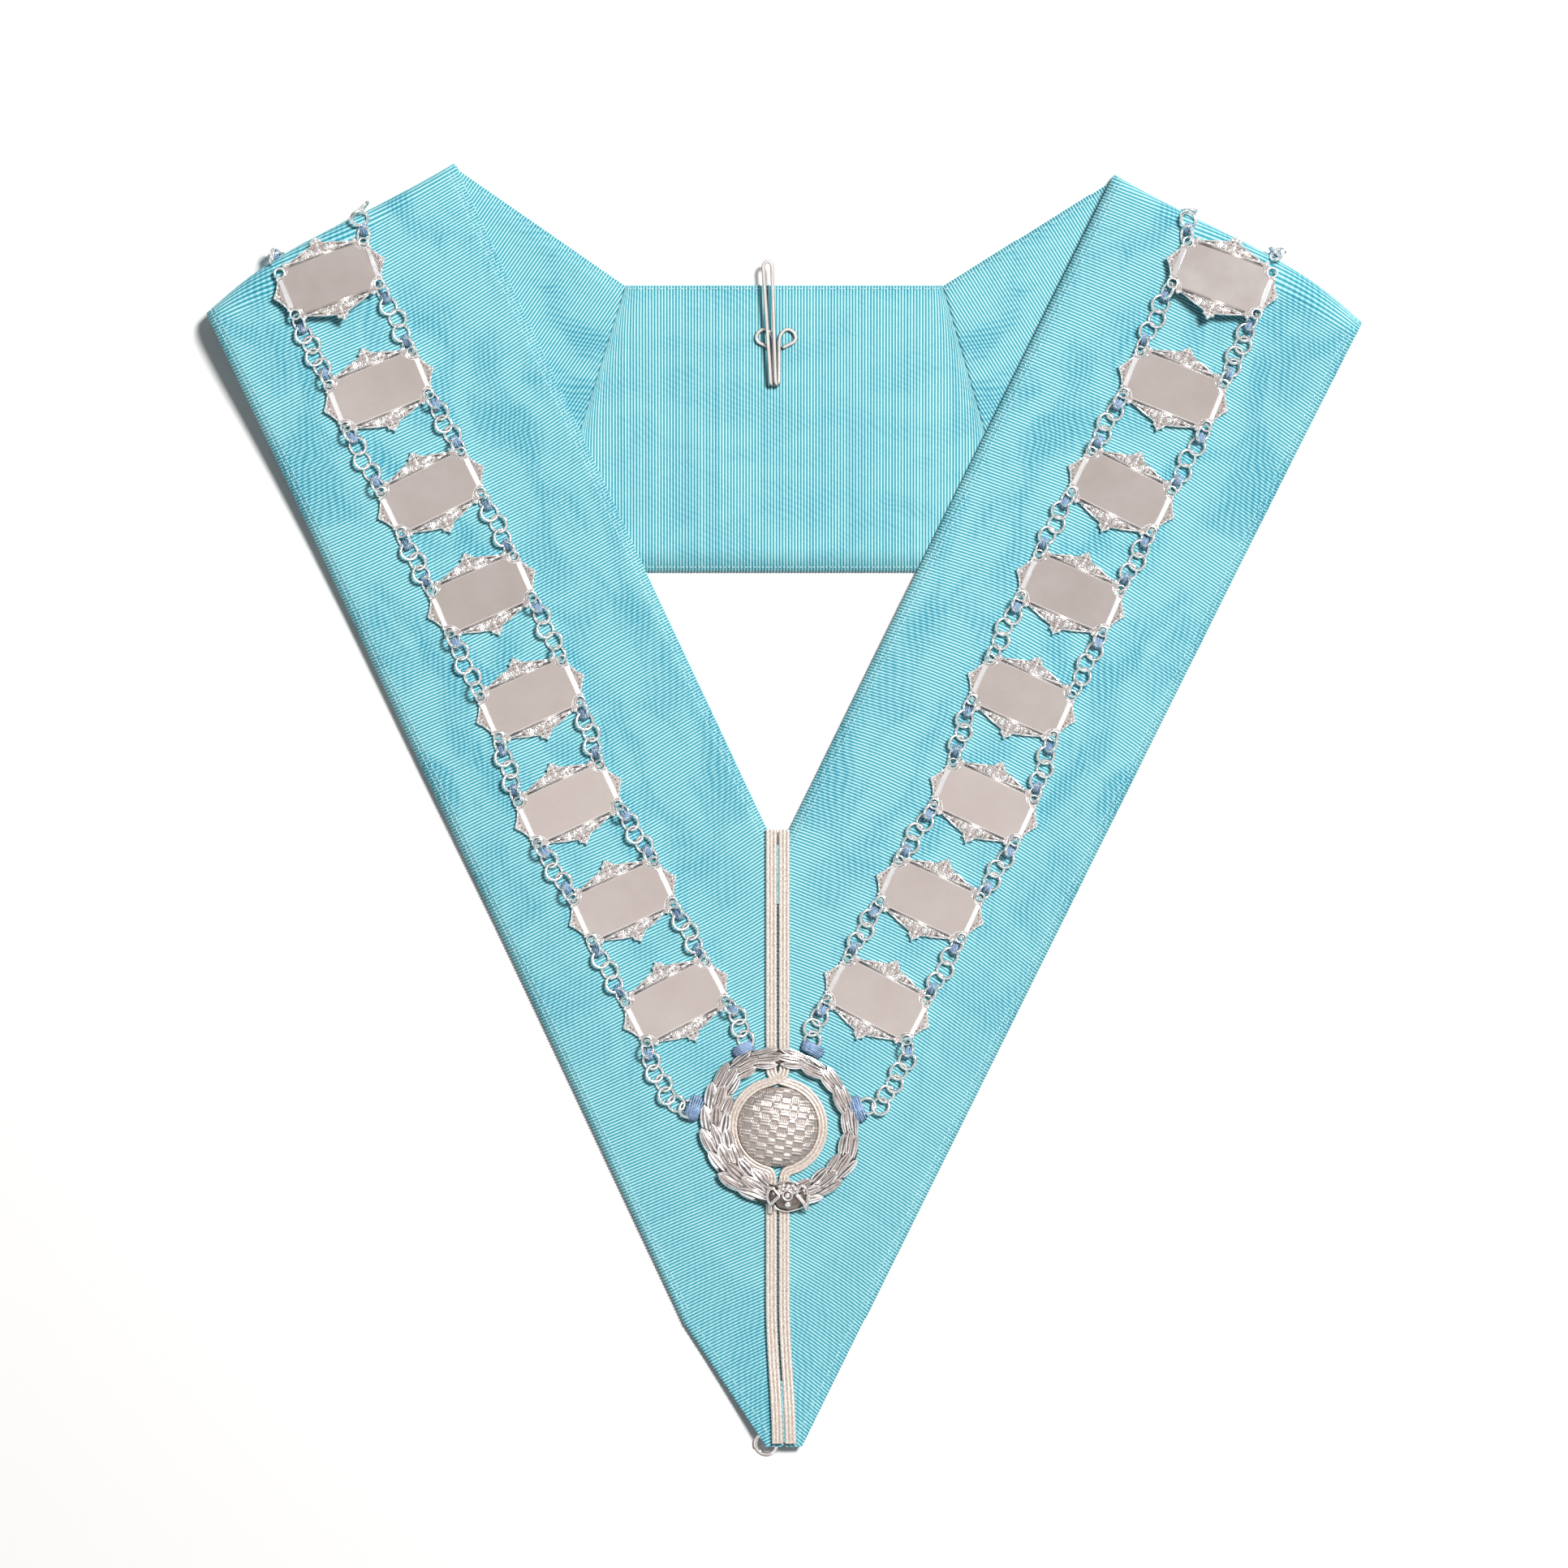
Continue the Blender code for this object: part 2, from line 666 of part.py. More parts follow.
def add_plates(ribbons, material, collection):
    """Sixteen plates, placed on the ribbons. Returns the pose of each."""
    pattern = plate_pattern(material, collection)
    mesh = pattern.data
    bpy.data.objects.remove(pattern, do_unlink=True)
    poses = {}
    for ribbon in ribbons:
        wreath_along = ribbon.shares(Vector((SEAM_X, -WREATH_DROP)))[0]
        for number, row in enumerate(PLATES, start=1):
            across = row.left_across if ribbon.sign < 0 else row.right_across
            centre = ribbon.place(row.along * wreath_along, across)
            tilt = -ribbon.sign * row.tilt
            pose = surface_pose(ribbon, centre, tilt, PLATE_LENGTH, PLATE_HEIGHT)
            item = add_object(f"plate_{ribbon.side}_{number}", mesh, material, collection)
            item.matrix_world = pose
            poses[ribbon.side, number] = pose
    return poses


def eye_point(pose, ribbon, strand, end):
    """The middle of a plate's eye: strand is inner or outer, end is 1 at the top, -1 below."""
    side = -ribbon.sign if strand == "inner" else ribbon.sign
    return pose @ Vector((side * EYE_X, end * EYE_Y, PLATE_THICKNESS / 2))


def chain_run(ribbon, plan_points, steps):
    """A chain lying on a front ribbon through plan points."""
    lift = CHAIN_DIAMETER / 2 + GAP
    return [ribbon.on_top(point, lift) for point in smooth_run(plan_points, steps)]


def add_chains(ribbons, poses, material, collection):
    """Two strands of chain on each side, in a run for each gap between plates and each end."""
    off = EYE_OUTER / 2 + EYE_CLEARANCE
    wreath = Vector((SEAM_X, -WREATH_DROP))
    for ribbon in ribbons:
        for end in WREATH_ENDS:
            name = f"chain_{ribbon.side}_{end.strand}_"
            top_eye = eye_point(poses[ribbon.side, 1], ribbon, end.strand, 1).to_2d()
            up = Vector((0, 1))
            angle = CHAIN_END_WRAP * math.pi * ribbon.taper
            ray = math.cos(angle) * ribbon.axis + math.sin(angle) * ribbon.out
            last = meet(top_eye, up, ribbon.cone, ray)
            run = chain_run(ribbon, [top_eye + off * up, last], CHAIN_END_STEPS)
            tube(name + "0", run, CHAIN_DIAMETER, material, collection)
            for number in range(1, len(PLATES)):
                upper = eye_point(poses[ribbon.side, number], ribbon, end.strand, -1).to_2d()
                lower = eye_point(poses[ribbon.side, number + 1], ribbon, end.strand, 1).to_2d()
                step = (lower - upper).normalized() * off
                run = chain_run(ribbon, [upper + step, lower - step], CHAIN_STEPS)
                tube(name + str(number), run, CHAIN_DIAMETER, material, collection)
            last_number = len(PLATES)
            eye = eye_point(poses[ribbon.side, last_number], ribbon, end.strand, -1).to_2d()
            points = [wreath + WREATH_OUTER / 2 * Vector((ribbon.sign * x, y))
                      for x, y in end.points]
            step = (points[0] - eye).normalized() * off
            run = chain_run(ribbon, [eye + step] + points, 1)
            tube(name + str(last_number), run, CHAIN_DIAMETER, material, collection)


def seam_top(ribbons, x, y, half_width):
    """Height of the cloth's outer side on the middle seam, at the highest point of a width."""
    heights = [ribbon.height(Vector((x + offset, y)))
               for ribbon in ribbons for offset in (-half_width, 0, half_width)]
    return max(heights) + RIBBON_WALL / 2


def braid_bar(name, ribbons, top, bottom, material, collection):
    """A straight stretch of the braid along the seam, from a top y to a bottom y."""
    count = max(2, round((top - bottom) / BRAID_ROW_LENGTH))
    sections = []
    for step in range(count + 1):
        y = lerp(top, bottom, step / count)
        x = seam_x(y)
        base = seam_top(ribbons, x, y, BRAID_WIDTH / 2) + GAP
        sections.append([Vector((x + point.out * BRAID_WIDTH, y,
                                 base + point.height * BRAID_THICKNESS))
                         for point in BRAID_SECTION])
    return add_object(name, mesh_from(name, loft(sections)), material, collection)


def add_braid(ribbons, material, collection):
    """The metal braid: it runs down the seam, parts round the button and closes below it."""
    centre_y = -BUTTON_DROP
    inner = BUTTON_DIAMETER / 2 + GAP
    outer = BRAID_RING_OUTER / 2
    middle = (inner + outer) / 2
    base = seam_top(ribbons, SEAM_X, centre_y, outer) + GAP + BRAID_RING_LIFT
    sections = []
    for step in range(BRAID_RING_STEPS):
        ray = flat_unit(360 * step / BRAID_RING_STEPS).to_3d()
        section = []
        for point in BRAID_SECTION:
            radius = lerp(inner, outer, point.out + 0.5)
            place = Vector((SEAM_X, centre_y, base + point.height * BRAID_THICKNESS))
            section.append(place + radius * ray)
        sections.append(section)
    ring = add_object("braid ring", mesh_from("ring", loft(sections, closed_run=True)),
                      material, collection)
    upper = braid_bar("upper bar", ribbons, -BRAID_TOP_DROP, centre_y + middle,
                      material, collection)
    lower = braid_bar("lower bar", ribbons, centre_y - middle, -TIP_DROP + BRAID_END_MARGIN,
                      material, collection)
    return union("braid", [ring, upper, lower], material, collection)


def add_button(ribbons, material, collection):
    """A domed button inside the braid's ring, turned from its profile."""
    base = seam_top(ribbons, SEAM_X, -BUTTON_DROP, BUTTON_DIAMETER / 2) + GAP
    radius = BUTTON_DIAMETER / 2
    profile = [Vector((0, 0, BUTTON_HEIGHT))]
    for step in range(1, DOME_STEPS + 1):
        angle = math.pi / 2 * (1 - step / DOME_STEPS)
        height = lerp(BUTTON_RIM, BUTTON_HEIGHT, math.sin(angle))
        profile.append(Vector((radius * math.cos(angle), 0, height)))
    profile += [Vector((radius, 0, 0)), Vector((0, 0, 0))]
    mesh = bpy.data.meshes.new("button")
    edges = [(index, index + 1) for index in range(len(profile) - 1)]
    mesh.from_pydata(profile, edges, [])
    item = add_object("button", mesh, material, collection)
    item.location = (SEAM_X, -BUTTON_DROP, base)
    turn = item.modifiers.new("turn", "SCREW")
    turn.steps = turn.render_steps = BUTTON_STEPS
    turn.use_merge_vertices = True
    turn.merge_threshold = 0.00001
    turn.use_smooth_shade = True
    return item


def wreath_base(ribbons):
    """The wreath rests on the braid where it crosses it."""
    top = seam_top(ribbons, SEAM_X, -WREATH_DROP, WREATH_OUTER / 2)
    return top + GAP + BRAID_THICKNESS + GAP


def add_wreath(ribbons, material, collection):
    """The cast laurel wreath: a band of leaves up both sides and a bow at the bottom."""
    base = wreath_base(ribbons)
    per_branch = WREATH_LEAVES * len(WREATH_LEAF)
    sections = []
    for step in range(2 * per_branch):
        climb = step if step < per_branch else 2 * per_branch - 1 - step
        leaf = WREATH_LEAF[climb % len(WREATH_LEAF)]
        angle = 180 * (step + 0.5) / per_branch - 90
        ray = flat_unit(angle)
        band = lerp(WREATH_LEFT_BAND, WREATH_RIGHT_BAND, (1 + ray.x) / 2)
        spread = (1 - leaf.spread) * band / 2
        inner = WREATH_OUTER / 2 - band + spread
        outer = WREATH_OUTER / 2 - spread
        section = []
        for point in WREATH_BAND:
            plan = Vector((SEAM_X, -WREATH_DROP)) + lerp(inner, outer, point.out) * ray
            height = point.height * leaf.swell * WREATH_THICKNESS
            section.append(plan.to_3d() + (base + height) * UP)
        sections.append(section)
    band = add_object("wreath band", mesh_from("band", loft(sections, closed_run=True)),
                      material, collection)
    centre = Vector((SEAM_X, -WREATH_DROP - WREATH_OUTER / 2 + BOW_WIDTH / 2, base))
    sections = []
    for row in BOW_SECTIONS:
        spread = [row.out * flat_unit(36 * step) for step in range(10)]
        sections.append([centre + Vector((point.x * BOW_LENGTH / 2, point.y * BOW_WIDTH / 2,
                                          row.height * BOW_HEIGHT)) for point in spread])
    knot = add_object("wreath bow", mesh_from("bow", loft(sections)), material, collection)
    return union("wreath", [band, knot], material, collection)


def hook_half(side):
    """Half of the hook's wire, from a sewing eye down a leg, round the bend and up the tongue."""
    low = RIBBON_WALL + GAP + HOOK_WIRE / 2
    high = low + HOOK_RISE
    run = [Vector((side * point.out * HOOK_EYE_OUT, HOOK_BEND_Y + point.up * HOOK_EYE_UP, low))
           for point in HOOK_EYE]
    foot = HOOK_TONGUE_SHIFT + side * HOOK_TONGUE_FOOT
    bend_steps = 5
    for step in range(bend_steps + 1):
        angle = math.pi * step / bend_steps
        share = (1 - math.cos(angle)) / 2
        run.append(Vector((lerp(side * HOOK_LEG, foot, share),
                           HOOK_BEND_Y - HOOK_BEND_DEPTH * math.sin(angle),
                           lerp(low, high, share))))
    top = HOOK_TONGUE_SHIFT + HOOK_TONGUE_LEAN * HOOK_TONGUE_LENGTH
    top_y = HOOK_BEND_Y + HOOK_TONGUE_LENGTH
    for share in (0.5, 1.0):
        run.append(Vector((lerp(foot, top + side * HOOK_TONGUE_HALF, share),
                           lerp(HOOK_BEND_Y, top_y, share), high + share * HOOK_TONGUE_LIFT)))
    for angle in (35, 65):
        reach = HOOK_TONGUE_HALF * flat_unit(angle)
        run.append(Vector((top + side * reach.x, top_y + 1.5 * reach.y, high + HOOK_TONGUE_LIFT)))
    return [point + Vector((HOOK_X, 0, 0)) for point in run]


def add_hook(material, collection):
    """The collar hook: one wire with two sewing eyes, bent over into a long narrow tongue."""
    left, right = hook_half(-1), hook_half(1)
    crest = (left[-1] + right[-1]) / 2 + Vector((0, 0.15 * HOOK_TONGUE_HALF, 0))
    item = tube("hook", left + [crest] + right[::-1], HOOK_WIRE, material, collection)
    item.data.bevel_resolution = 1
    return item


def add_tip_ring(ribbons, material, collection):
    """The split ring under the tip, one side on the surface and the other under the cloth."""
    radius = TIP_RING_DIAMETER / 2
    centre = Vector((TIP_RING_X, radius - TIP_RING_OVERHANG - TIP_DROP))
    direction = flat_unit(TIP_RING_HIGH_SIDE)
    under = ribbons[0].height(centre + radius * direction) - RIBBON_WALL / 2
    low = TIP_RING_WIRE / 2
    high = under - GAP - TIP_RING_WIRE / 2
    tilt = math.asin((high - low) / TIP_RING_DIAMETER)
    bpy.ops.mesh.primitive_torus_add(major_segments=16, minor_segments=6, major_radius=radius,
                                     minor_radius=TIP_RING_WIRE / 2)
    item = bpy.context.active_object
    item.name = "tip_ring"
    item.data.materials.append(material)
    for holder in list(item.users_collection):
        holder.objects.unlink(item)
    collection.objects.link(item)
    turn = Matrix.Rotation(tilt, 4, Vector((direction.y, -direction.x, 0)))
    item.matrix_world = Matrix.Translation(centre.to_3d() + (low + high) / 2 * UP) @ turn
    return item


def build():
    clear_scene()
    collar = new_collection("chain collar")
    cloth = new_material("ribbon cloth", (0.16, 0.62, 0.74), 0.0, 0.45)
    silver = new_material("silver", (0.86, 0.85, 0.83), 1.0, 0.16)
    chain = new_material("chain silver", (0.80, 0.80, 0.79), 1.0, 0.22)
    thread = new_material("metal thread", (0.74, 0.68, 0.62), 0.7, 0.38)
    nickel = new_material("nickel", (0.72, 0.71, 0.69), 1.0, 0.20)
    ribbons = [SideRibbon(row) for row in SHOULDERS]
    for ribbon in ribbons:
        add_side_ribbon(ribbon, cloth, collar)
    add_neck_ribbon(ribbons, cloth, collar)
    poses = add_plates(ribbons, silver, collar)
    add_chains(ribbons, poses, chain, collar)
    add_braid(ribbons, thread, collar)
    add_button(ribbons, thread, collar)
    add_wreath(ribbons, silver, collar)
    add_hook(nickel, collar)
    add_tip_ring(ribbons, nickel, collar)


build()
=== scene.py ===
# %% [markdown]
# # A chain collar, laid flat
# The collar is one long wide ribbon, folded over at both shoulders, with cast silver plates that
# hang between two strands of ring chain. This lesson dresses the plain frame model: every cloth
# and metal piece is made again with its ribs, rings, leaves and threads, in the same place.

# %% Load the frame
import json
import math
import bpy
import numpy as np
from mathutils import Matrix, Vector

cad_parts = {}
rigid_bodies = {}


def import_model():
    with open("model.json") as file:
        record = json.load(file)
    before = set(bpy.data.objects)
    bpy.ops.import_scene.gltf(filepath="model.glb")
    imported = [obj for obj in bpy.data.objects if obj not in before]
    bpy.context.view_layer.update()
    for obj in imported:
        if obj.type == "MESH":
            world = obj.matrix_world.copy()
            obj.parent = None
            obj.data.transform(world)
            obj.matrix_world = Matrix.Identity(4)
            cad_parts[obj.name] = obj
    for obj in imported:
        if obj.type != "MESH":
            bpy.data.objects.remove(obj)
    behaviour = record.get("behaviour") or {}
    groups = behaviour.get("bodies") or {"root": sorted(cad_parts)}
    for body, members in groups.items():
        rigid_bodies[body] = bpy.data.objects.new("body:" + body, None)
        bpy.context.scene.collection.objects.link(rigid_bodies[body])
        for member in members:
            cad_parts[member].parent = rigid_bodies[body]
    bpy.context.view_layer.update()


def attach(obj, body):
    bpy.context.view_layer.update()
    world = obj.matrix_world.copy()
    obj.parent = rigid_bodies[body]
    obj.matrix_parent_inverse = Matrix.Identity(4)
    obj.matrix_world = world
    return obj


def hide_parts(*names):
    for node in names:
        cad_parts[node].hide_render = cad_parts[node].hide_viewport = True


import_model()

# %% [markdown]
# ## Sizes
# The frame was made from a few named sizes in metres, and the same sizes are written here, so
# that each new piece lies exactly where its plain solid does. The ribbon is a standard width, and
# its ribs are a little over a millimetre apart.

# %% Named sizes
RIBBON_WIDTH = 0.1016
RIBBON_WALL = 0.0016
GAP = 0.0003
NECK_TOP = 0.1126
TIP_DROP = 0.3616
TIP_FLAT = 0.0129
TIP_LIFT = 0.0035
SEAM_X = -0.0022
SEAM_SHIFT = 0.0022
SEAM_SHIFT_LENGTH = 0.0520
TUCK_START = 0.885
FOLD_INNER_RADIUS = 0.0025
FOLD_OUTER_RADIUS = 0.0060
FOLD_BULGE = 0.0037
FOLD_BULGE_SKEW = 1.8
WREATH_DROP = 0.2489
BUTTON_DROP = 0.2481
RIB_PITCH = 0.00108
RIB_HEIGHT = 0.00011

# Rows across the front, from the fold to the tip: along is a share of the front's length, layer
# is how far it rides over the ribbon under it, the rolls are what is left of the fold's rise.
FRONT_SECTIONS = np.array([
    # along, layer, inner roll, outer roll, tip
    (0.000, 1.00, 1.00, 1.00, 0.00),
    (0.030, 1.00, 0.86, 0.91, 0.00),
    (0.070, 1.00, 0.62, 0.68, 0.00),
    (0.120, 1.00, 0.40, 0.44, 0.00),
    (0.180, 1.00, 0.22, 0.24, 0.00),
    (0.250, 1.00, 0.10, 0.11, 0.00),
    (0.330, 1.00, 0.03, 0.04, 0.00),
    (0.390, 1.00, 0.00, 0.00, 0.00),
    (0.450, 0.60, 0.00, 0.00, 0.00),
    (0.520, 0.15, 0.00, 0.00, 0.00),
    (0.580, 0.00, 0.00, 0.00, 0.00),
    (0.870, 0.00, 0.00, 0.00, 0.00),
    (0.920, 0.00, 0.00, 0.00, 0.18),
    (0.960, 0.00, 0.00, 0.00, 0.52),
    (1.000, 0.00, 0.00, 0.00, 1.00),
])
ROUNDING = 0.012
print("ribbon", RIBBON_WIDTH, "m wide, with", round(1 / RIB_PITCH), "ribs to a metre")

# %% [markdown]
# ## Camera, floor and light
# The collar lies on a white table and is seen from straight above through a long lens. One soft
# key light stands up and to the right, so shadows fall to the lower left, and a wide pale sky
# fills the rest.

# %% Camera
PHOTO_PIXELS = 1932
ORIGIN_ROW = 528
METRES_PER_PIXEL = 0.0002886
CAMERA_HEIGHT = 2.0
SENSOR_WIDTH = 36.0
camera_data = bpy.data.cameras.new("camera")
camera = bpy.data.objects.new("camera", camera_data)
bpy.context.scene.collection.objects.link(camera)
camera.location = (0.0, (ORIGIN_ROW - PHOTO_PIXELS / 2) * METRES_PER_PIXEL, CAMERA_HEIGHT)
camera_data.sensor_width = SENSOR_WIDTH
camera_data.lens = SENSOR_WIDTH * CAMERA_HEIGHT / (PHOTO_PIXELS * METRES_PER_PIXEL)
bpy.context.scene.camera = camera
print("camera", round(camera_data.lens, 1), "mm lens at", tuple(round(v, 3) for v in camera.location))

# %% [markdown]
# ## Nodes
# The sky and every finish are worked out by shader nodes. They could be placed one by one in the
# node editor, but the same few come back each time: a sum, a mix of two colours, a noise, a bump.
# So each of these gets a short helper that adds its node and links it up.

# %% Node helpers
def node(tree, kind, **values):
    """A node with its options, or its inputs by name, set."""
    made = tree.nodes.new(kind)
    for key, value in values.items():
        if hasattr(made, key):
            setattr(made, key, value)
        else:
            made.inputs[key.replace("_", " ")].default_value = value
    return made


def math_node(tree, operation, *inputs, clamp=False):
    made = node(tree, "ShaderNodeMath", operation=operation, use_clamp=clamp)
    for slot, value in zip(made.inputs, inputs):
        if isinstance(value, (int, float)):
            slot.default_value = value
        else:
            tree.links.new(value, slot)
    return made.outputs[0]


def held_range(tree, value, *limits):
    """A value carried from one range to another, held at its ends."""
    made = tree.nodes.new("ShaderNodeMapRange")
    for slot, limit in zip(made.inputs[1:5], limits):
        slot.default_value = limit
    tree.links.new(value, made.inputs[0])
    return made.outputs[0]


def mix(tree, share, first, second, kind="RGBA"):
    """A colour or number between two, each one fixed or worked out by other nodes."""
    made = node(tree, "ShaderNodeMix", data_type=kind)
    low, out = (6, 2) if kind == "RGBA" else (2, 0)
    tree.links.new(share, made.inputs[0])
    for slot, value in zip(made.inputs[low:low + 2], (first, second)):
        if isinstance(value, (tuple, float)):
            slot.default_value = (*value, 1.0) if kind == "RGBA" else value
        else:
            tree.links.new(value, slot)
    return made.outputs[out]


def split_parts(tree, vector):
    """The three numbers of a place or a direction."""
    made = tree.nodes.new("ShaderNodeSeparateXYZ")
    tree.links.new(vector, made.inputs[0])
    return made.outputs


def noise_at(tree, place, scale, detail, **values):
    """Noise read at a place."""
    made = node(tree, "ShaderNodeTexNoise", Scale=scale, Detail=detail, **values)
    tree.links.new(place, made.inputs["Vector"])
    return made.outputs[0]


def add_bump(tree, height, strength, distance):
    """Fine relief in a material, from a height."""
    bump = node(tree, "ShaderNodeBump", Strength=strength, Distance=distance)
    tree.links.new(height, bump.inputs["Height"])
    tree.links.new(bump.outputs[0], tree.nodes["Principled BSDF"].inputs["Normal"])


# %% Lights
def area_light(name, place, target, size, power, colour):
    """A square soft light that looks at a target."""
    light = bpy.data.lights.new(name, "AREA")
    light.size = size
    light.energy = power
    light.color = colour
    lamp = bpy.data.objects.new(name, light)
    lamp.location = place
    lamp.rotation_euler = (Vector(target) - Vector(place)).to_track_quat("-Z", "Y").to_euler()
    bpy.context.scene.collection.objects.link(lamp)


MIDDLE = (0.0, -0.13, 0.0)
area_light("key light", (1.03, 0.90, 2.51), MIDDLE, 0.60, 100.0, (1.0, 0.99, 0.98))
bpy.context.scene.view_settings.view_transform = "Standard"

# The sky by height: pale light low down, a dark band that draws the metal's edges, bright walls,
# a dim cornice, and a warm grey overhead that the flat plates reflect. Metal mirrors it at full
# strength, while the cloth gets a weaker fill, as under a hood that is open to the key light.
SKY = (
    # height, colour
    (0.00, (0.90, 0.90, 0.90)),
    (0.16, (0.90, 0.90, 0.90)),
    (0.22, (0.04, 0.035, 0.035)),
    (0.34, (0.04, 0.035, 0.035)),
    (0.41, (1.20, 1.21, 1.23)),
    (0.75, (1.20, 1.21, 1.23)),
    (0.81, (0.26, 0.22, 0.20)),
    (0.87, (0.26, 0.22, 0.20)),
    (0.92, (0.64, 0.565, 0.54)),
    (1.00, (0.64, 0.565, 0.54)),
)
FILL = 0.22
world = bpy.data.worlds.new("studio")
bpy.context.scene.world = world
world.use_nodes = True
sky_tree = world.node_tree
sky = sky_tree.nodes["Background"]
direction = sky_tree.nodes.new("ShaderNodeTexCoord").outputs["Generated"]
_, sky_y, sky_z = split_parts(sky_tree, direction)
ramp = sky_tree.nodes.new("ShaderNodeValToRGB")
stops = ramp.color_ramp
stops.elements[0].position, stops.elements[0].color = SKY[0][0], (*SKY[0][1], 1.0)
stops.elements[1].position, stops.elements[1].color = SKY[-1][0], (*SKY[-1][1], 1.0)
for level, colour in SKY[1:-1]:
    stops.elements.new(level).color = (*colour, 1.0)
sky_tree.links.new(sky_z, ramp.inputs[0])
sky_tree.links.new(ramp.outputs[0], sky.inputs["Color"])

# Walls are patchy, so leaves that face different ways catch light and dark; overhead is even.
walls = held_range(sky_tree, noise_at(sky_tree, direction, 2.6, 1.0), 0.44, 0.56, 0.25, 1.10)
overhead = held_range(sky_tree, sky_z, 0.56, 0.62, 0.0, 1.0)
lengthwise = held_range(sky_tree, sky_y, -0.042, 0.002, 1.16, 0.86)
mirrored = math_node(sky_tree, "MULTIPLY", mix(sky_tree, overhead, walls, 1.0, "FLOAT"), lengthwise)
glossy = sky_tree.nodes.new("ShaderNodeLightPath").outputs["Is Glossy Ray"]
sky_tree.links.new(mix(sky_tree, glossy, FILL, mirrored, "FLOAT"), sky.inputs["Strength"])


# %% Floor
FLOOR_SIZE = 6.0
FLOOR_DROP = 0.0002


def plain_material(name, colour, roughness, metallic=0.0):
    material = bpy.data.materials.new(name)
    material.use_nodes = True
    shader = material.node_tree.nodes["Principled BSDF"]
    shader.inputs["Base Color"].default_value = (*colour, 1.0)
    shader.inputs["Roughness"].default_value = roughness
    shader.inputs["Metallic"].default_value = metallic
    return material


def paint(piece, material):
    piece.data.materials.clear()
    piece.data.materials.append(material)


bpy.ops.object.select_all(action="DESELECT")
bpy.ops.mesh.primitive_plane_add(size=FLOOR_SIZE, location=(0, MIDDLE[1], -FLOOR_DROP))
floor = bpy.context.active_object
floor.name = "white_table"
floor.data.materials.append(plain_material("white table", (0.96, 0.96, 0.96), 0.7))
print("floor, sky and key light are in place")

# %% [markdown]
# ## The shape of a side
# Each side of the collar is worked out as a flat front that is rolled over a cone at the
# shoulder. A point is named by where it would lie if the front went on flat past the fold; what
# lies beyond the fold's line is wrapped round the cone. The same rule places ribs, plates and
# chain, so they all follow one surface.


# %% A side of the collar
def unit(angle):
    return np.array((math.cos(math.radians(angle)), math.sin(math.radians(angle))))


def meet(point, direction, other, other_direction):
    """Where two lines in plan cross."""
    spread = direction[0] * other_direction[1] - direction[1] * other_direction[0]
    offset = other - point
    share = (offset[0] * other_direction[1] - offset[1] * other_direction[0]) / spread
    return point + share * direction


def seam_x(y):
    """The middle seam, which shifts a little near the tip."""
    share = np.clip((-y - (TIP_DROP - SEAM_SHIFT_LENGTH)) / SEAM_SHIFT_LENGTH, 0, 1)
    return SEAM_X + SEAM_SHIFT * share * share * (3 - 2 * share)


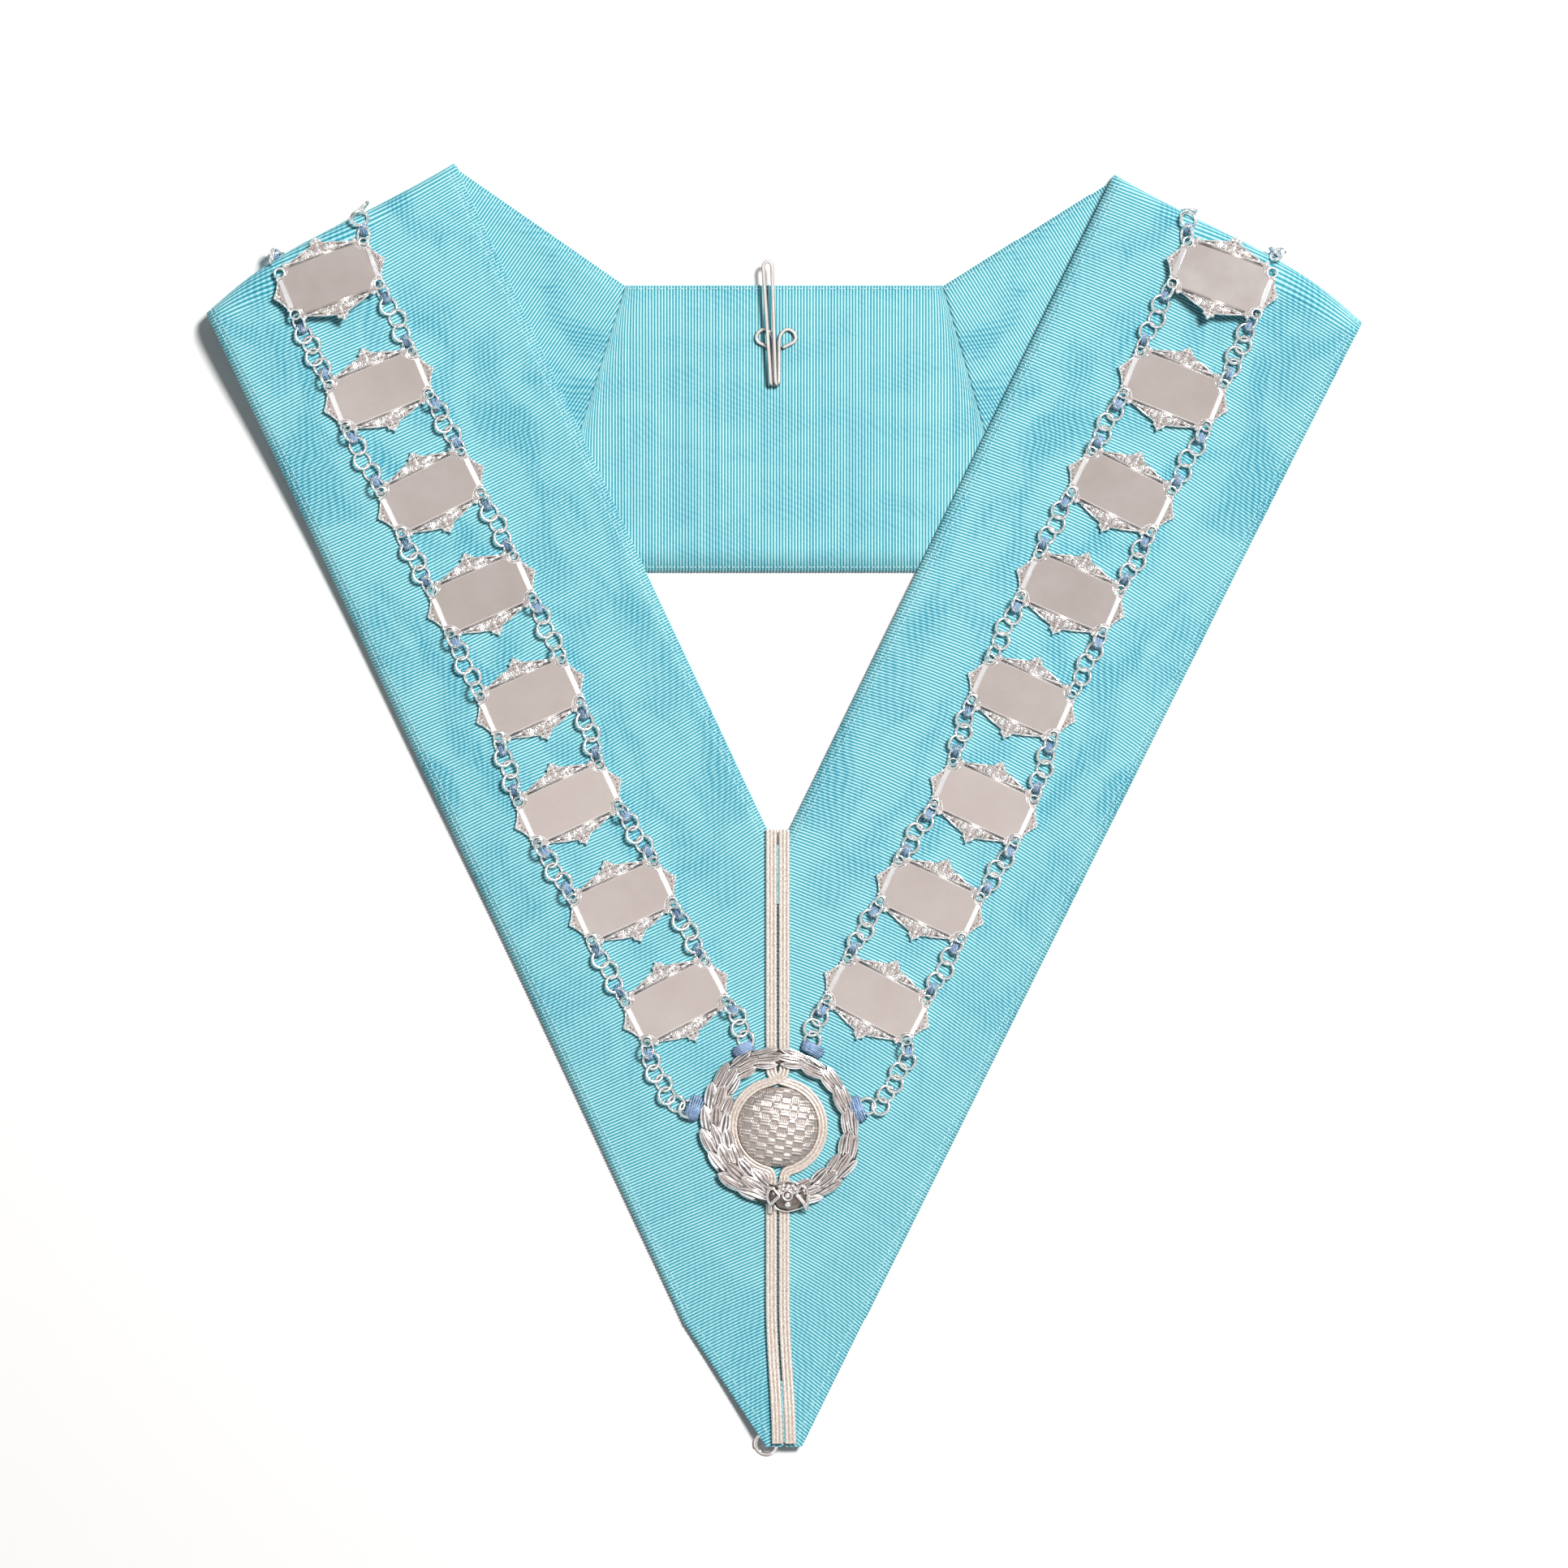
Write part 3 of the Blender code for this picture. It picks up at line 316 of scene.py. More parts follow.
class Side:
    """The middle surface of one side ribbon, for many plan points at a time."""

    def __init__(self, name, sign, back_length, back_slope, fold_slope, lean):
        self.name, self.sign = name, sign
        self.down = unit(-90 - sign * lean)
        self.across = np.array((-sign * self.down[1], sign * self.down[0]))
        self.neck_corner = np.array((sign * NECK_TOP / 2, RIBBON_WIDTH / 2))
        self.neck_slope = math.radians(back_slope) / 2
        self.back = unit(back_slope) * (sign, 1)
        self.back_down = np.array((sign * self.back[1], -sign * self.back[0]))
        fold_start = self.neck_corner + back_length * RIBBON_WIDTH * self.back
        crest = unit(-fold_slope) * (sign, 1)
        outward = unit(90 - fold_slope) * (sign, 1)
        self.taper = (FOLD_OUTER_RADIUS - FOLD_INNER_RADIUS) / RIBBON_WIDTH
        turn = math.asin(self.taper)
        self.axis = math.cos(turn) * crest - math.sin(turn) * outward
        self.out = math.cos(turn) * outward + math.sin(turn) * crest
        reach = FOLD_INNER_RADIUS / self.taper
        self.cone = fold_start - reach * (self.axis + self.taper * self.out)
        self.inner_top = self.cone + reach * self.axis
        self.outer_top = self.edge_at(0.0, 1.0)
        self.tip = np.array((seam_x(-TIP_DROP) + sign * TIP_FLAT / 2, -TIP_DROP))
        self.fold_drop = float((self.outer_top - self.inner_top) @ self.down)
        self.length = float((self.tip - self.outer_top) @ self.down)

    def edge_at(self, roll, across):
        """Where the line at a share of the width meets the fold's line at a share of its roll."""
        angle = roll * math.pi * self.taper
        ray = math.cos(angle) * self.axis + math.sin(angle) * self.out
        return meet(self.inner_top + across * RIBBON_WIDTH * self.across, self.down, self.cone, ray)

    def place(self, along, across):
        """The plan point at a share of the front's length and of its width."""
        down = along * self.length + across * self.fold_drop
        return self.inner_top + down * self.down + across * RIBBON_WIDTH * self.across

    def shares(self, points):
        offset = points - self.inner_top
        across = offset @ self.across / RIBBON_WIDTH
        return (offset @ self.down - across * self.fold_drop) / self.length, across

    def heights(self, points):
        """Height of the middle of the front's cloth, with the table's corners rounded off."""
        along, across = self.shares(points)
        layer_step = RIBBON_WALL + GAP
        top = self.inner_top + np.multiply.outer(across, self.outer_top - self.inner_top)
        rise = 2 * self.taper * ((top - self.cone) @ self.axis) - layer_step
        total = 0.0
        for shift in ROUNDING * np.linspace(-1, 1, 5):
            shifted = np.clip(along + shift * np.clip(along / ROUNDING, 0, 1), 0, 1)
            layer, inner, outer, tip = (np.interp(shifted, FRONT_SECTIONS[:, 0], FRONT_SECTIONS[:, c])
                                        for c in (1, 2, 3, 4))
            roll = inner + (outer - inner) * across
            total = total + layer_step * layer + rise * roll + TIP_LIFT * tip
        return RIBBON_WALL / 2 + total / 5

    def surface(self, points):
        """The middle of the cloth at plan points, on the front or rolled over the fold."""
        points = np.asarray(points, float)
        offset = points - self.cone
        angle = np.arctan2(offset @ self.out, offset @ self.axis)
        reach = np.hypot(offset[..., 0], offset[..., 1])
        turn = np.maximum(angle, 0) / self.taper
        radius = reach * self.taper
        share = (radius - FOLD_INNER_RADIUS) / (FOLD_OUTER_RADIUS - FOLD_INNER_RADIUS)
        bulge = FOLD_BULGE * np.sin(math.pi * np.clip(share, 0, 1) ** FOLD_BULGE_SKEW)
        plan = (self.cone + np.multiply.outer(reach, self.axis)
                + np.multiply.outer((radius + bulge) * np.sin(turn), self.out))
        rolled = np.concatenate((plan, (radius * (1 + np.cos(turn)) + RIBBON_WALL / 2)[..., None]), -1)
        flat = np.concatenate((points, self.heights(points)[..., None]), -1)
        return np.where((angle > 0)[..., None], rolled, flat)

    def normals(self, points):
        """The way that the front's outer side faces."""
        step = 0.0005
        points = np.asarray(points, float)
        along = self.surface(points + step * self.down) - self.surface(points - step * self.down)
        over = self.surface(points + step * self.across) - self.surface(points - step * self.across)
        normal = -self.sign * np.cross(over, along)
        return normal / np.linalg.norm(normal, axis=-1, keepdims=True)

    def on_top(self, points, lift):
        """Points at a height above the cloth's outer side."""
        return self.surface(points) + (RIBBON_WALL / 2 + lift) * self.normals(points)


LEFT = Side("left", -1, 0.730, 34.8, 31.5, 25.2)
RIGHT = Side("right", 1, 0.709, 32.2, 31.1, 26.4)
SIDES = (LEFT, RIGHT)
print("front lengths", [round(side.length, 4) for side in SIDES])

# %% [markdown]
# ## Ribbed cloth
# The ribbon is a heavy ribbed silk: thick cords run across it from edge to edge, and each one
# ends as a tiny notch at the edge. The ribs could be painted on as bump, but then the edges would
# be smooth, so they are real waves here. A grid is added with four rows to a rib, each row is laid
# along its rib and cut off where a seam or the tip cuts it. The sheet gets its wall while it is
# still smooth, and the ribs last: a wall put on a ribbed sheet would pinch every groove.


# %% Rows of ribs
ROWS_PER_RIB = 4
COLUMNS = 20
# How far the ribs' ends stand out: a share of the width on the sides, metres on the neck.
SIDE_NOTCH = 0.0022
NECK_NOTCH = 0.00022


def inside(points, corners):
    """Which points lie inside a convex outline."""
    result = np.ones(points.shape[:-1], bool)
    middle = np.mean(corners, 0)
    for start, end in zip(corners, np.roll(corners, -1, 0)):
        out = np.array((start[1] - end[1], end[0] - start[0]))
        result &= (points - start) @ out * np.sign((middle - start) @ out) >= -1e-9
    return result


def ribbed_rows(rib_line, first, last, corners, notched):
    """Plan points along each row of ribs, cut by an outline, and the pattern's coordinates.

    rib_line(distance, share) gives plan points; share runs from 0 to 1 across the ribbon. notched
    says whether the ends at 0 and at 1 are the ribbon's own edges.
    """
    distances = np.arange(first, last, RIB_PITCH / ROWS_PER_RIB)
    fine = np.linspace(0, 1, 401)
    rows, pattern = [], []
    for distance in distances:
        kept = fine[inside(rib_line(distance, fine), corners)]
        if len(kept) < 3:
            continue
        start, end = kept[0], kept[-1]
        notch = SIDE_NOTCH * math.cos(2 * math.pi * distance / RIB_PITCH)
        start -= notch if notched[0] and start == 0 else 0
        end += notch if notched[1] and end == 1 else 0
        share = np.linspace(start, end, COLUMNS + 1)
        rows.append(rib_line(distance, share))
        pattern.append(np.stack((share * RIBBON_WIDTH, np.full_like(share, distance)), -1))
    return np.array(rows), np.array(pattern)


def wave(pattern):
    """Height of the ribs over the middle of the cloth."""
    return RIB_HEIGHT * np.cos(2 * math.pi * pattern[..., 1] / RIB_PITCH)


def corners_of(piece):
    """The places of a piece's vertices."""
    places = np.empty(len(piece.data.vertices) * 3)
    piece.data.vertices.foreach_get("co", places)
    return places.reshape(-1, 3)


def laid_grid(name, points):
    """A grid laid on rows of points, with the row and the column of each of its vertices."""
    rows, columns = points.shape[:2]
    bpy.ops.object.select_all(action="DESELECT")
    bpy.ops.mesh.primitive_grid_add(x_subdivisions=columns - 1, y_subdivisions=rows - 1, size=2)
    grid = bpy.context.active_object
    grid.name = name
    shares = (corners_of(grid) + 1) / 2
    column = np.rint(shares[:, 0] * (columns - 1)).astype(int)
    row = np.rint(shares[:, 1] * (rows - 1)).astype(int)
    grid.data.vertices.foreach_set("co", points[row, column].ravel())
    grid.data.update()
    bpy.ops.object.shade_smooth()
    return grid, row, column


def own_map(piece, name, pairs):
    """A piece's own map, from a pair of numbers for each vertex."""
    corner = np.empty(len(piece.data.loops), int)
    piece.data.loops.foreach_get("vertex_index", corner)
    piece.data.uv_layers[0].name = name
    piece.data.uv_layers[0].data.foreach_set("uv", pairs[corner].ravel())


def cloth_sheet(name, points, pattern):
    """A grid laid on the rows, with a wall, its own map of the pattern, and then its ribs."""
    sheet, row, column = laid_grid(name, points)
    mesh = sheet.data
    own_map(sheet, "pattern", pattern[row, column])
    bpy.ops.object.mode_set(mode="EDIT")
    bpy.ops.mesh.select_all(action="SELECT")
    bpy.ops.mesh.normals_make_consistent(inside=False)
    bpy.ops.object.mode_set(mode="OBJECT")
    wall = sheet.modifiers.new("wall", "SOLIDIFY")
    wall.thickness = wall_thickness = RIBBON_WALL - 2 * RIB_HEIGHT
    wall.offset = 0.0
    bpy.ops.object.modifier_apply(modifier="wall")
    walls = corners_of(sheet).reshape(2, -1, 3)
    outward = (walls[0] - walls[1]) / wall_thickness
    ribs = wave(pattern[row, column])[:, None] * outward * np.sign(outward[:, 2].mean())
    mesh.vertices.foreach_set("co", (walls + ribs).ravel())
    mesh.update()
    return sheet


def join(first, *others):
    """Pieces made into one object."""
    bpy.ops.object.select_all(action="DESELECT")
    for piece in (first, *others):
        piece.select_set(True)
    bpy.context.view_layer.objects.active = first
    bpy.ops.object.join()
    return first


# %% [markdown]
# ## How the ribs run
# On the left side the ribs climb a little more steeply towards the inner edge. On the right side
# they arch, high in the middle and falling away to both edges. On the shoulder backs and the neck
# they are straight, and at the mitres of the neck they crowd together and lean along the seam.


# %% Front ribs
def rib_bend(side, share, distance):
    """How far a rib lies above the straight line across, at a share of the width."""
    near_fold = np.clip(1 - distance / 0.12, 0, 1)
    wobble = 0.0005 * np.sin(share * 9 + distance * 31) * np.clip(distance / 0.05, 0, 1)
    if side.sign < 0:
        return 0.0040 * np.clip(1 - 1.5 * share, 0, 1) ** 2 + wobble
    arch = 0.0046 * (1 - (2 * share - 0.9) ** 2)
    return arch * (1 - 0.5 * near_fold) + wobble


SEAM_CLOSE = 0.00003


def front_corners(side):
    """The outline of the front as if it were all flat, from the fold's far end to the tip."""
    seam = seam_x(0.0) + side.sign * SEAM_CLOSE
    fork = meet(side.inner_top, side.down, np.array((seam, 0.0)), np.array((0.0, -1.0)))
    seam_end = np.array((seam_x(-TIP_DROP) + side.sign * SEAM_CLOSE, -TIP_DROP))
    return np.array((side.edge_at(1, 0), fork, seam_end, side.tip, side.place(TUCK_START, 1.0),
                     side.edge_at(1, 1)))


def front_points(side):
    corners = front_corners(side)

    def rib_line(distance, share):
        down = distance - rib_bend(side, share, distance)
        return (side.inner_top + np.multiply.outer(down, side.down)
                + np.multiply.outer(share * RIBBON_WIDTH, side.across))

    first = min((corner - side.inner_top) @ side.down for corner in corners) - 0.002
    last = max((corner - side.inner_top) @ side.down for corner in corners) + 0.006
    return ribbed_rows(rib_line, first, last, corners, (True, True))


fronts = {}
for side in SIDES:
    plan, pattern = front_points(side)
    fronts[side.name] = cloth_sheet(side.name + "_front", side.surface(plan), pattern)
    print(side.name, "front:", plan.shape[0], "rows")


# %% Shoulder backs
def back_points(side):
    """The flat back of a shoulder, from the neck seam to the far end of the fold."""
    shift = np.array((side.sign * SEAM_CLOSE, 0))
    lower = side.neck_corner + RIBBON_WIDTH * np.array((side.sign * math.tan(side.neck_slope), -1))
    ends = [side.surface(side.edge_at(1.0, share))[:2] for share in (0.0, 1.0)]
    corners = np.array((side.neck_corner + shift, ends[0], ends[1], lower + shift))

    def rib_line(distance, share):
        start = side.neck_corner + shift
        return (start + np.multiply.outer(distance * np.ones_like(share), side.back)
                + np.multiply.outer(share * 1.02 * RIBBON_WIDTH, side.back_down))

    spans = (corners - corners[0]) @ side.back
    return ribbed_rows(rib_line, spans.min() - 0.001, spans.max() + 0.001, corners, (True, False))


ribbons = {}
for side in SIDES:
    plan, pattern = back_points(side)
    heights = np.full((*plan.shape[:2], 1), RIBBON_WALL / 2)
    back = cloth_sheet(side.name + "_back", np.concatenate((plan, heights), -1), pattern)
    ribbons[side.name] = join(fronts[side.name], back)
    ribbons[side.name].name = side.name + "_ribbon_cloth"
    print(side.name, "ribbon:", len(ribbons[side.name].data.polygons), "faces")


# %% Neck ribbon
SEAM_CROWD = 0.0022


def neck_points():
    """The neck ribbon: upright ribs that crowd along the mitres at both ends."""
    rows, pattern = [], []
    slopes = {side.sign: math.tan(side.neck_slope) for side in SIDES}
    half = NECK_TOP / 2 - SEAM_CLOSE
    widest = half + RIBBON_WIDTH * max(slopes.values()) + 1.5 * SEAM_CROWD
    low_end = SEAM_CROWD * math.log(1 + math.exp(-1.5))
    for upright in np.arange(-widest, widest, RIB_PITCH / ROWS_PER_RIB):
        slope = slopes[1 if upright > 0 else -1]
        start = max(0.0, (abs(upright) - 1.5 * SEAM_CROWD - half) / slope)
        if start > RIBBON_WIDTH - 0.002:
            continue
        notch = NECK_NOTCH * math.cos(2 * math.pi * upright / RIB_PITCH)
        depth = np.linspace(start if start > 0 else -notch, RIBBON_WIDTH + notch, 13)
        seam = half + slope * depth
        room = seam - abs(upright)
        crowded = SEAM_CROWD * np.log(1 + np.exp(room / SEAM_CROWD))
        crowded -= low_end * np.exp(-(room / SEAM_CROWD + 1.5) / 6)
        x = np.sign(upright) * (seam - np.maximum(crowded, 0))
        rows.append(np.stack((x, RIBBON_WIDTH / 2 - depth), -1))
        pattern.append(np.stack((depth, np.full_like(depth, upright)), -1))
    return np.array(rows), np.array(pattern)


plan, pattern = neck_points()
heights = np.full((*plan.shape[:2], 1), RIBBON_WALL / 2)
neck = cloth_sheet("neck_ribbon_cloth", np.concatenate((plan, heights), -1), pattern)
print("neck ribbon:", len(neck.data.polygons), "faces")

# %% [markdown]
# ## Watered silk
# Each rib is painted with a highlight on its crest and with shade in its turquoise groove: the sheen
# of the silk is put into its colour. Watered ribbon is pressed so that its ribs are crushed in small
# drifting bands; the watering is the ribbon's own, and here it shows as bands where the painted
# groove shade turns deep and the painted crest highlight dulls. The pattern is read from the
# cloth's own map: one coordinate counts the ribs, the other runs across the ribbon.
# The bands are narrow streaks that run down the collar and that a broad noise pushes out of line,
# like wood grain; another broad noise says where the ribs are pressed, and a fine one frays them.
# A last one that is stretched along the ribs makes single ribs darker than their neighbours.


# %% Silk material
# Crest colours are a painted highlight and groove colours painted shade; the pressed pair is used in
# the watered bands.
SILK = (0.27, 0.60, 0.67)
GROOVE_PAINTED_SHADE = (0.045, 0.35, 0.43)
GROOVE_PRESSED_PAINTED_SHADE = (0.002, 0.18, 0.29)
CREST_PAINTED_HIGHLIGHT = (0.66, 1.00, 1.00)
CREST_PRESSED_PAINTED_HIGHLIGHT = (0.12, 0.55, 0.70)
EVEN = 0.14
BAND_WIDTH = 0.0023
BAND_LEAN = 0.47


def silk_material(name, watered, uneven):
    material = plain_material(name, SILK, 0.5)
    tree = material.node_tree
    shader = tree.nodes["Principled BSDF"]
    pattern = node(tree, "ShaderNodeUVMap", uv_map="pattern").outputs[0]
    across, along = split_parts(tree, pattern)[:2]

    def noise(across_scale, along_scale, detail, distortion):
        joined = tree.nodes.new("ShaderNodeCombineXYZ")
        for slot, value, scale in zip(joined.inputs, (across, along), (across_scale, along_scale)):
            tree.links.new(math_node(tree, "MULTIPLY", value, scale), slot)
        return noise_at(tree, joined.outputs[0], 1.0, detail, Distortion=distortion)

    drift = noise(55.0, 40.0, 1.0, 0.6)
    region = noise(70.0, 34.0, 2.0, 0.6)
    fray = noise(1100.0, 2400.0, 1.0, 0.0)
    turns = math_node(tree, "MULTIPLY", along, 2 * math.pi / RIB_PITCH)
    turns = math_node(tree, "ADD", turns, math_node(tree, "MULTIPLY_ADD", fray, 0.9, -0.45))
    # crest is the share of painted highlight across each rib, from groove to crest.
    crest = math_node(tree, "MULTIPLY_ADD", math_node(tree, "COSINE", turns), 0.5, 0.5)
    crest = math_node(tree, "POWER", crest, 1.6)
    near_fold = math_node(tree, "MULTIPLY_ADD", along, -5.0, 2.05, clamp=True)
    near_tip = math_node(tree, "MULTIPLY_ADD", along, 9.0, -3.2, clamp=True)
    pressed = math_node(tree, "MULTIPLY_ADD", region, 4.6, math_node(tree, "SUBTRACT", near_tip, 1.95),
                        clamp=True)
    strength = math_node(tree, "MAXIMUM", math_node(tree, "MAXIMUM", near_fold, near_tip), 0.3)
    pressed = math_node(tree, "MULTIPLY", pressed, strength)
    leaning = math_node(tree, "MULTIPLY_ADD", along, -BAND_LEAN, across)
    phase = math_node(tree, "MULTIPLY_ADD", drift, 26.0,
                      math_node(tree, "MULTIPLY", leaning, 2 * math.pi / BAND_WIDTH))
    phase = math_node(tree, "ADD", phase, math_node(tree, "MULTIPLY", fray, 3.0))
    streak = math_node(tree, "MULTIPLY_ADD", math_node(tree, "SINE", phase), 0.26, 0.36)
    streaked = math_node(tree, "MULTIPLY", pressed, streak)
    crushed = math_node(tree, "MULTIPLY_ADD", streaked, watered, EVEN)
    single = math_node(tree, "MULTIPLY_ADD", noise(7.0, 560.0, 1.0, 0.0), uneven, -uneven / 2)
    crushed = math_node(tree, "ADD", crushed, single, clamp=True)
    # Painted groove shade and painted crest highlight, deeper and duller where the ribs are pressed.
    painted_groove_shade = mix(tree, crushed, GROOVE_PAINTED_SHADE, GROOVE_PRESSED_PAINTED_SHADE)
    top = mix(tree, crushed, CREST_PAINTED_HIGHLIGHT, CREST_PRESSED_PAINTED_HIGHLIGHT)
    tree.links.new(mix(tree, crest, painted_groove_shade, top), shader.inputs["Base Color"])
    shader.inputs["Specular IOR Level"].default_value = 0.12
    add_bump(tree, fray, 0.35, 0.0002)
    return material


silk_front = silk_material("watered silk", 1.0, 0.3)
silk_plain = silk_material("ribbed silk", 0.45, 0.8)
for side in SIDES:
    paint(ribbons[side.name], silk_front)
paint(neck, silk_plain)
print("silk is on", len(ribbons) + 1, "ribbons")


# %% Put the cloth on the frame
def dress(piece, slot_name, *nodes):
    """A finished piece rides on the collar and stands for its solids, which are hidden."""
    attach(piece, "root")
    if nodes:
        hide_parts(*nodes)
    return piece


TURNED_ENDS = 0.02
MITRE_SHARE = 0.98


def outline_area(corners):
    x, y = np.array(corners).T
    return abs(x @ np.roll(y, -1) - y @ np.roll(x, -1)) / 2


for side in SIDES:
    piece = dress(ribbons[side.name], "ribbon", side.name + "_ribbon")
    corners = front_corners(side)
    front_length = np.ptp((corners - side.inner_top) @ side.down)
    back_length = float(np.linalg.norm(side.surface(side.edge_at(1.0, 0.0))[:2] - side.neck_corner))
    area = outline_area(corners) + back_length * RIBBON_WIDTH * MITRE_SHARE
    flat_length = front_length + back_length + TURNED_ENDS
    print(side.name, "cut:", round(flat_length, 3), "m long,", round(area, 4), "square metres")
dress(neck, "ribbon", "neck_ribbon")

# %% [markdown]
# ## Silver and nickel
# The cast plates and the wreath are bright silver, and the chain and the hook are plain plated
# wire; two darker silvers are painted into the plates' grooves and the wreath's hollows as shade.
# A polished metal shows little of its own colour: it shows the room, so its material only needs a
# grey base, a low roughness that changes a little from place to place, and a fine bump that breaks
# the reflection.


# %% Metal material
def metal_material(name, bright, dull, roughness, spread, grain, bump_height):
    """A metal whose colour and roughness drift over the piece, with a fine uneven surface."""
    material = plain_material(name, bright, roughness, 1.0)
    tree = material.node_tree
    shader = tree.nodes["Principled BSDF"]
    place = tree.nodes.new("ShaderNodeTexCoord").outputs["Object"]
    cloud = noise_at(tree, place, grain, 3.0, Roughness=0.6)
    contrast = math_node(tree, "MULTIPLY_ADD", cloud, 2.4, -0.6, clamp=True)
    tree.links.new(mix(tree, contrast, dull, bright), shader.inputs["Base Color"])
    rough = math_node(tree, "MULTIPLY_ADD", cloud, spread, roughness - spread / 2)
    tree.links.new(rough, shader.inputs["Roughness"])
    add_bump(tree, noise_at(tree, place, grain * 6, 2.0), 0.5, bump_height)
    return material


panel_silver = metal_material("panel silver", (0.93, 0.92, 0.91), (0.86, 0.83, 0.81),
                              0.12, 0.04, 70.0, 0.00001)
ornament_silver = metal_material("ornament silver", (0.98, 0.97, 0.96), (0.82, 0.79, 0.77),
                                 0.20, 0.10, 300.0, 0.00003)
cast_silver = metal_material("cast silver", (0.98, 0.96, 0.95), (0.66, 0.60, 0.58),
                             0.16, 0.08, 420.0, 0.00003)
chain_silver = metal_material("chain silver", (0.98, 0.98, 0.96), (0.80, 0.79, 0.77),
                              0.15, 0.08, 300.0, 0.00002)
# Painted deep shade: a near-black silver for the plates' creases, the leaves' hollows and the dark
# under the wreath and the bow.
painted_deep_shade = metal_material("tarnished silver", (0.30, 0.26, 0.24), (0.12, 0.10, 0.09),
                         0.34, 0.12, 420.0, 0.00005)
# Painted shade, lighter: a grey silver for the grooves beside the plate panels and round the pearls.
painted_shade_silver = metal_material("shaded silver", (0.62, 0.57, 0.54), (0.40, 0.35, 0.33),
                               0.30, 0.10, 420.0, 0.00003)
nickel = metal_material("nickel wire", (1.00, 0.96, 0.94), (0.84, 0.77, 0.73),
                        0.10, 0.04, 260.0, 0.00001)
print("metals:", [m.name for m in (panel_silver, ornament_silver, cast_silver, chain_silver, nickel)])


# %% Making and moving small pieces
def activate(piece):
    bpy.ops.object.select_all(action="DESELECT")
    piece.select_set(True)
    bpy.context.view_layer.objects.active = piece


def settle(name, smooth=True):
    """Name the new primitive and put its place, turn and size into its mesh."""
    piece = bpy.context.active_object
    piece.name = name
    bpy.ops.object.transform_apply(location=True, rotation=True, scale=True)
    if smooth:
        bpy.ops.object.shade_smooth()
    return piece


def primitive(kind, name, smooth=True, **options):
    """A new primitive with its place, turn and size in its mesh."""
    bpy.ops.object.select_all(action="DESELECT")
    getattr(bpy.ops.mesh, f"primitive_{kind}_add")(**options)
    return settle(name, smooth)


def modify(piece, kind, **settings):
    """Add a modifier and apply it."""
    activate(piece)
    modifier = piece.modifiers.new(kind.lower(), kind)
    for key, value in settings.items():
        setattr(modifier, key, value)
    bpy.ops.object.modifier_apply(modifier=modifier.name)


def close_up(piece, distance=1e-6):
    """Merge doubles and turn every face outwards."""
    activate(piece)
    bpy.ops.object.mode_set(mode="EDIT")
    bpy.ops.mesh.select_all(action="SELECT")
    bpy.ops.mesh.remove_doubles(threshold=distance)
    bpy.ops.mesh.normals_make_consistent(inside=False)
    bpy.ops.object.mode_set(mode="OBJECT")


def copy_of(pattern, matrix, name=None):
    """A copy with its own mesh, put where a matrix says."""
    twin = pattern.copy()
    twin.data = pattern.data.copy()
    twin.data.transform(matrix)
    twin.name = name or pattern.name
    bpy.context.scene.collection.objects.link(twin)
    return twin


def discard(*pieces):
    for piece in pieces:
        bpy.data.objects.remove(piece, do_unlink=True)


def bead(place, size, turn=0.0):
    """A cast bead, a ball of its own width, length and height."""
    return primitive("uv_sphere", "bead", segments=10, ring_count=6, radius=0.5, location=place,
                     rotation=(0, 0, math.radians(turn)), scale=size)


def wire(name, points, thickness, closed=False, taper=None, resolution=1):
    """A round wire through points: a curve with a bevel, made a mesh."""
    curve = bpy.data.curves.new(name, "CURVE")
    curve.dimensions = "3D"
    curve.bevel_depth = thickness / 2
    curve.bevel_resolution = resolution
    curve.use_fill_caps = not closed
    spline = curve.splines.new("POLY")
    spline.points.add(len(points) - 1)
    for index, place in enumerate(points):
        spline.points[index].co = (*place, 1.0)
        spline.points[index].radius = taper[index] if taper else 1.0
    spline.use_cyclic_u = closed
    spline.use_smooth = True
    made = bpy.data.objects.new(name, curve)
    bpy.context.scene.collection.objects.link(made)
    activate(made)
    bpy.ops.object.convert(target="MESH")
    close_up(made)
    bpy.ops.object.shade_smooth()
    return made


def smooth_run(points, steps):
    """Points along a smooth curve through chosen points, some steps for each stretch."""
    points = np.asarray(points, float)
    padded = np.concatenate((points[:1], points, points[-1:]))
    shares = np.arange(steps)[:, None] / steps
    run = []
    for before, start, end, after in zip(padded, padded[1:], padded[2:], padded[3:]):
        pull_in, pull_out = (end - before) / 2, (after - start) / 2
        run.append((2 * shares**3 - 3 * shares**2 + 1) * start
                   + (shares**3 - 2 * shares**2 + shares) * pull_in
                   + (3 * shares**2 - 2 * shares**3) * end + (shares**3 - shares**2) * pull_out)
    return np.concatenate(run + [points[-1:]])


# %% [markdown]
# ## The cast plate
# Each plate is one casting: a plain raised panel with clipped corners, a hanging eye at each
# corner, and a crest of pearls and a small fleur on each side. It could be carved from a block,
# but a casting is easier to follow when it is built as a maker would, from a cut outline with the
# ornaments laid on. One plate is made flat at the origin and later copied sixteen times.

# %% Plate body
PANEL_LENGTH = 0.0312
PANEL_HEIGHT = 0.0172
PANEL_CLIP = 0.0032
PANEL_RAISE = 0.0005
PLATE_THICKNESS = 0.0011
PLATE_LENGTH = 0.0422
PLATE_HEIGHT = 0.0320
EYE_X = 0.0158
EYE_Y = 0.0079
EYE_OUTER = 0.0041
EYE_HOLE = 0.0027
PLATE_EDGE = 0.00022
PANEL_EDGE = 0.00018
EYE_RIM_WIRE = 0.00084
EYE_RIM_OUT = 0.00005
MM = 0.001

LONG_CREST = ((0.0, 16.1), (0.9, 15.0), (2.1, 14.2), (2.1, 13.3), (5.8, 12.3), (9.5, 11.0), (12.0, 9.7))
SHORT_CREST = ((17.0, 5.9), (17.7, 4.6), (19.6, 1.9), (20.2, 1.2), (21.1, 0.0))


